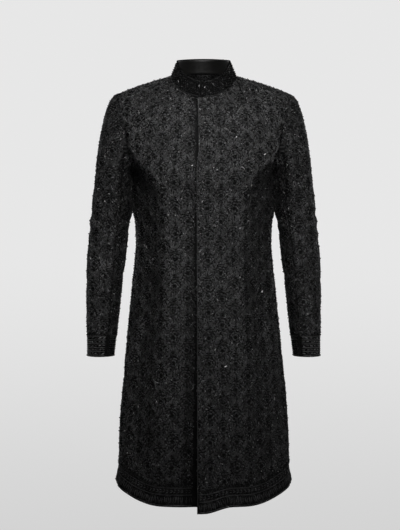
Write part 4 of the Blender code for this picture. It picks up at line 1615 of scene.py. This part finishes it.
def markWorkAndShade(name, panel):
    # painted shade darkens the work under the arms, inside the sleeves, down the sides, on the shoulders, at
    # the sleeves' heads and beside the lap, painted light lightens the outer chest, and the work stops at
    # the borders and on the bare strips
    points = panel["points"]
    if name.startswith("collar"):
        panel["worked"] = np.full(points.shape[:2], beadwork["collarWorked"])
        panel["rich"] = np.ones(points.shape[:2])
        return
    out, z = np.abs(points[..., 0]), points[..., 2]
    isSleeve = name.startswith("sleeve")
    sideways = gridNormals(points, panel["away"])[..., 0] * np.sign(points[..., 0]) * (-1 if isSleeve else 1)
    underarm = falling(z, *lightAndShadeZones["underarmTop"]) * rising(z, *lightAndShadeZones["underarmEnd"])
    if isSleeve:
        # painted shade inside the sleeves, under the arm and at the sleeves' heads
        thin = beadwork["innerArmShade"] * rising(sideways, *lightAndShadeZones["innerArm"])
        underarm = underarm * rising(sideways, *lightAndShadeZones["armSide"])
        topLightAndShade = mix(1 - beadwork["sleeveHeadShade"], 0, falling(z, *lightAndShadeZones["sleeveHeadShade"]))
    else:
        # painted light on the outer chest, painted shade on the shoulders' tops and down the sides
        outer = rising(out, *lightAndShadeZones["outerChestLight"]) * rising(z, *lightAndShadeZones["chestEnd"])
        topLightAndShade = -beadwork["outerChestLight"] * outer * (name != "back")
        topLightAndShade = topLightAndShade + beadwork["shoulder"] * rising(z, *lightAndShadeZones["shoulder"])
        skirt = 1 - beadwork["skirtShadeEased"] * falling(z, *lightAndShadeZones["skirtTop"])
        level = falling(z, *lightAndShadeZones["sideTop"]) * skirt
        thin = beadwork["sideShade"] * rising(sideways, *lightAndShadeZones["side"]) * level
        underarm = underarm * rising(out, *lightAndShadeZones["underarmSide"])
    # all the painted shade together, with the lap's painted shadow
    thin = np.maximum(np.maximum(thin, beadwork["thinUnderarm"] * underarm), panel.get("shade", 0.0))
    panel["rich"] = (1 - thin) * (1 - topLightAndShade)
    plain = (1 - closure["bareWorked"]) * panel["bare"]
    above = rising(panel["hemAway"], beadwork["cuffBand" if isSleeve else "hemBand"], beadwork["borderSoft"])
    least = beadwork["cuffWorked" if isSleeve else "hemWorked"]
    panel["worked"] = panel["rich"] * (1 - plain) * mix(least, 1.0, above)


trees = {"cords": cordTree(), "beads": beadTree()}
thicknesses = {"cloth": body["cloth"], "collar": collar["cloth"], "facing": collar["facing"]}
triangles = 0
for name, panel in panels.items():
    markWorkAndShade(name, panel)
    sheet = sheetObject(f"{name}_sheet", panel)
    label = {"collar": "collar", "collar_facing": "facing"}.get(name, "cloth")
    pieces = [shellObject(f"{name}_cloth", sheet, thicknesses[label], materials[label])]
    if name != "collar_facing":
        drawing = drawPanel(name, panel)
        values = {"Cloth": sheet, "Clear of edges": beadwork["clearOfEdges"], "Thread": materials["thread"]}
        pieces.append(applied(cordsObject(name + "_flat", drawing), trees["cords"], values, f"{name}_cords"))
        values |= {"Shapes": beadShapes, "Glass": materials["glass"], "Sequin": materials["sequin"]}
        pieces.append(applied(beadsObject(name + "_flat", drawing), trees["beads"], values, f"{name}_beads"))
    bpy.data.objects.remove(sheet)
    for item in pieces:
        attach(item, "root")
        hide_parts(name)
    counts = [sum(len(f.vertices) - 2 for f in item.data.polygons) for item in pieces]
    triangles += sum(counts)
print("triangles in all", triangles)
for item in list(beadShapes.objects):
    bpy.data.objects.remove(item)
bpy.data.collections.remove(beadShapes)


stage = {
    "distance": 3.2,
    "aimX": -0.0092,
    "aimZ": -0.484,
    "lens": 84.9,
    "floorZ": -1.5,
    "floorHalf": 5,
    "floorBack": 1.5,
    "floorColor": (0.80, 0.80, 0.80),
    "floorRough": 0.9,
    "floorGlow": 0.55,
    "background": 0.80,
    "lowBackground": 0.64,
    "backgroundTurns": (-0.26, 0.02),  # how far down the view is where it is darkest, and where lightest
    "fill": 0.008,
}
# Name, place, aim, size, power and spread in degrees.
lights = (
    ("key", (0.14, -1.30, 0.45), (0.0, -0.12, -0.28), (0.7, 0.4), 1.36, 52),
    ("above", (-0.03, -0.55, 0.80), (0.0, -0.12, -0.34), (0.4, 0.2), 0.42, 56),
    ("low", (0.6, -1.50, -0.90), (0.0, 0.0, -0.60), (0.5, 0.5), 1.35, 180),
    ("left", (-2.4, -0.4, 0.7), (0.0, 0.0, -0.35), (0.6, 0.8), 0.18, 180),
    ("right", (2.4, -0.4, 0.7), (0.0, 0.0, -0.35), (0.6, 0.8), 0.95, 180),
    ("leftBack", (-1.9, 2.1, 0.5), (0.0, 0.0, -0.45), (0.8, 1.4), 6.5, 180),
    ("rightBack", (1.9, 2.1, 0.5), (0.0, 0.0, -0.45), (0.8, 1.4), 6.5, 180),
    ("behind", (0.0, 2.7, 0.6), (0.0, 0.0, -0.45), (0.8, 1.4), 26.0, 180),
)


def areaLight(name, place, aim, size, power, spread):
    data = bpy.data.lights.new(name, "AREA")
    data.shape, data.size, data.size_y, data.energy = "RECTANGLE", size[0], size[1], power
    data.spread = math.radians(spread)
    item = bpy.data.objects.new(name, data)
    item.location = place
    towards = mathutils.Vector(aim) - mathutils.Vector(place)
    item.rotation_euler = towards.to_track_quat("-Z", "Y").to_euler()
    item.visible_camera = False
    bpy.context.scene.collection.objects.link(item)


for row in lights:
    areaLight(*row)
print("lit with", len(lights), "lamps")

camera = bpy.data.cameras.new("camera")
camera.lens, camera.sensor_width, camera.sensor_fit = stage["lens"], 36.0, "AUTO"
cameraObject = bpy.data.objects.new("camera", camera)
cameraObject.location = (stage["aimX"], -stage["distance"], stage["aimZ"])
cameraObject.rotation_euler = (math.pi / 2, 0, 0)
bpy.context.scene.collection.objects.link(cameraObject)
bpy.context.scene.camera = cameraObject

floorMesh = bpy.data.meshes.new("floor")
half, far = stage["floorHalf"], stage["floorBack"]
corners = ((-half, -half, 0), (half, -half, 0), (half, far, 0), (-half, far, 0))
floorMesh.from_pydata(corners, [], [(0, 1, 2, 3)])
floor = linkedObject("floor", floorMesh)
floor.location = (0, 0, stage["floorZ"])
floorMaterial, tree, shader = newMaterial("paleFloor", stage["floorColor"], stage["floorRough"])
shader.inputs["Emission Color"].default_value = (1, 1, 1, 1)
seenByCamera = addNode(tree, "ShaderNodeLightPath").outputs["Is Camera Ray"]
glow = maths(tree, "MULTIPLY", seenByCamera, stage["floorGlow"])
tree.links.new(glow, shader.inputs["Emission Strength"])
floorMesh.materials.append(floorMaterial)

world = bpy.data.worlds.new("studio")
bpy.context.scene.world = world
world.use_nodes = True
tree = world.node_tree
tree.nodes.clear()
direction = addNode(tree, "ShaderNodeTexCoord").outputs["Generated"]
upward = addNode(tree, "ShaderNodeSeparateXYZ", {0: direction}).outputs["Z"]
glow = ramped(tree, upward, stage["lowBackground"], stage["background"], *stage["backgroundTurns"])
seen = addNode(tree, "ShaderNodeBackground", {"Color": (1, 1, 1, 1), "Strength": glow}).outputs[0]
links = {"Color": (1, 1, 1, 1), "Strength": stage["fill"]}
fill = addNode(tree, "ShaderNodeBackground", links).outputs[0]
ray = addNode(tree, "ShaderNodeLightPath").outputs["Is Camera Ray"]
both = addNode(tree, "ShaderNodeMixShader", {0: ray, 1: fill, 2: seen}).outputs[0]
addNode(tree, "ShaderNodeOutputWorld", {"Surface": both})
bpy.context.scene.view_settings.view_transform = "Standard"
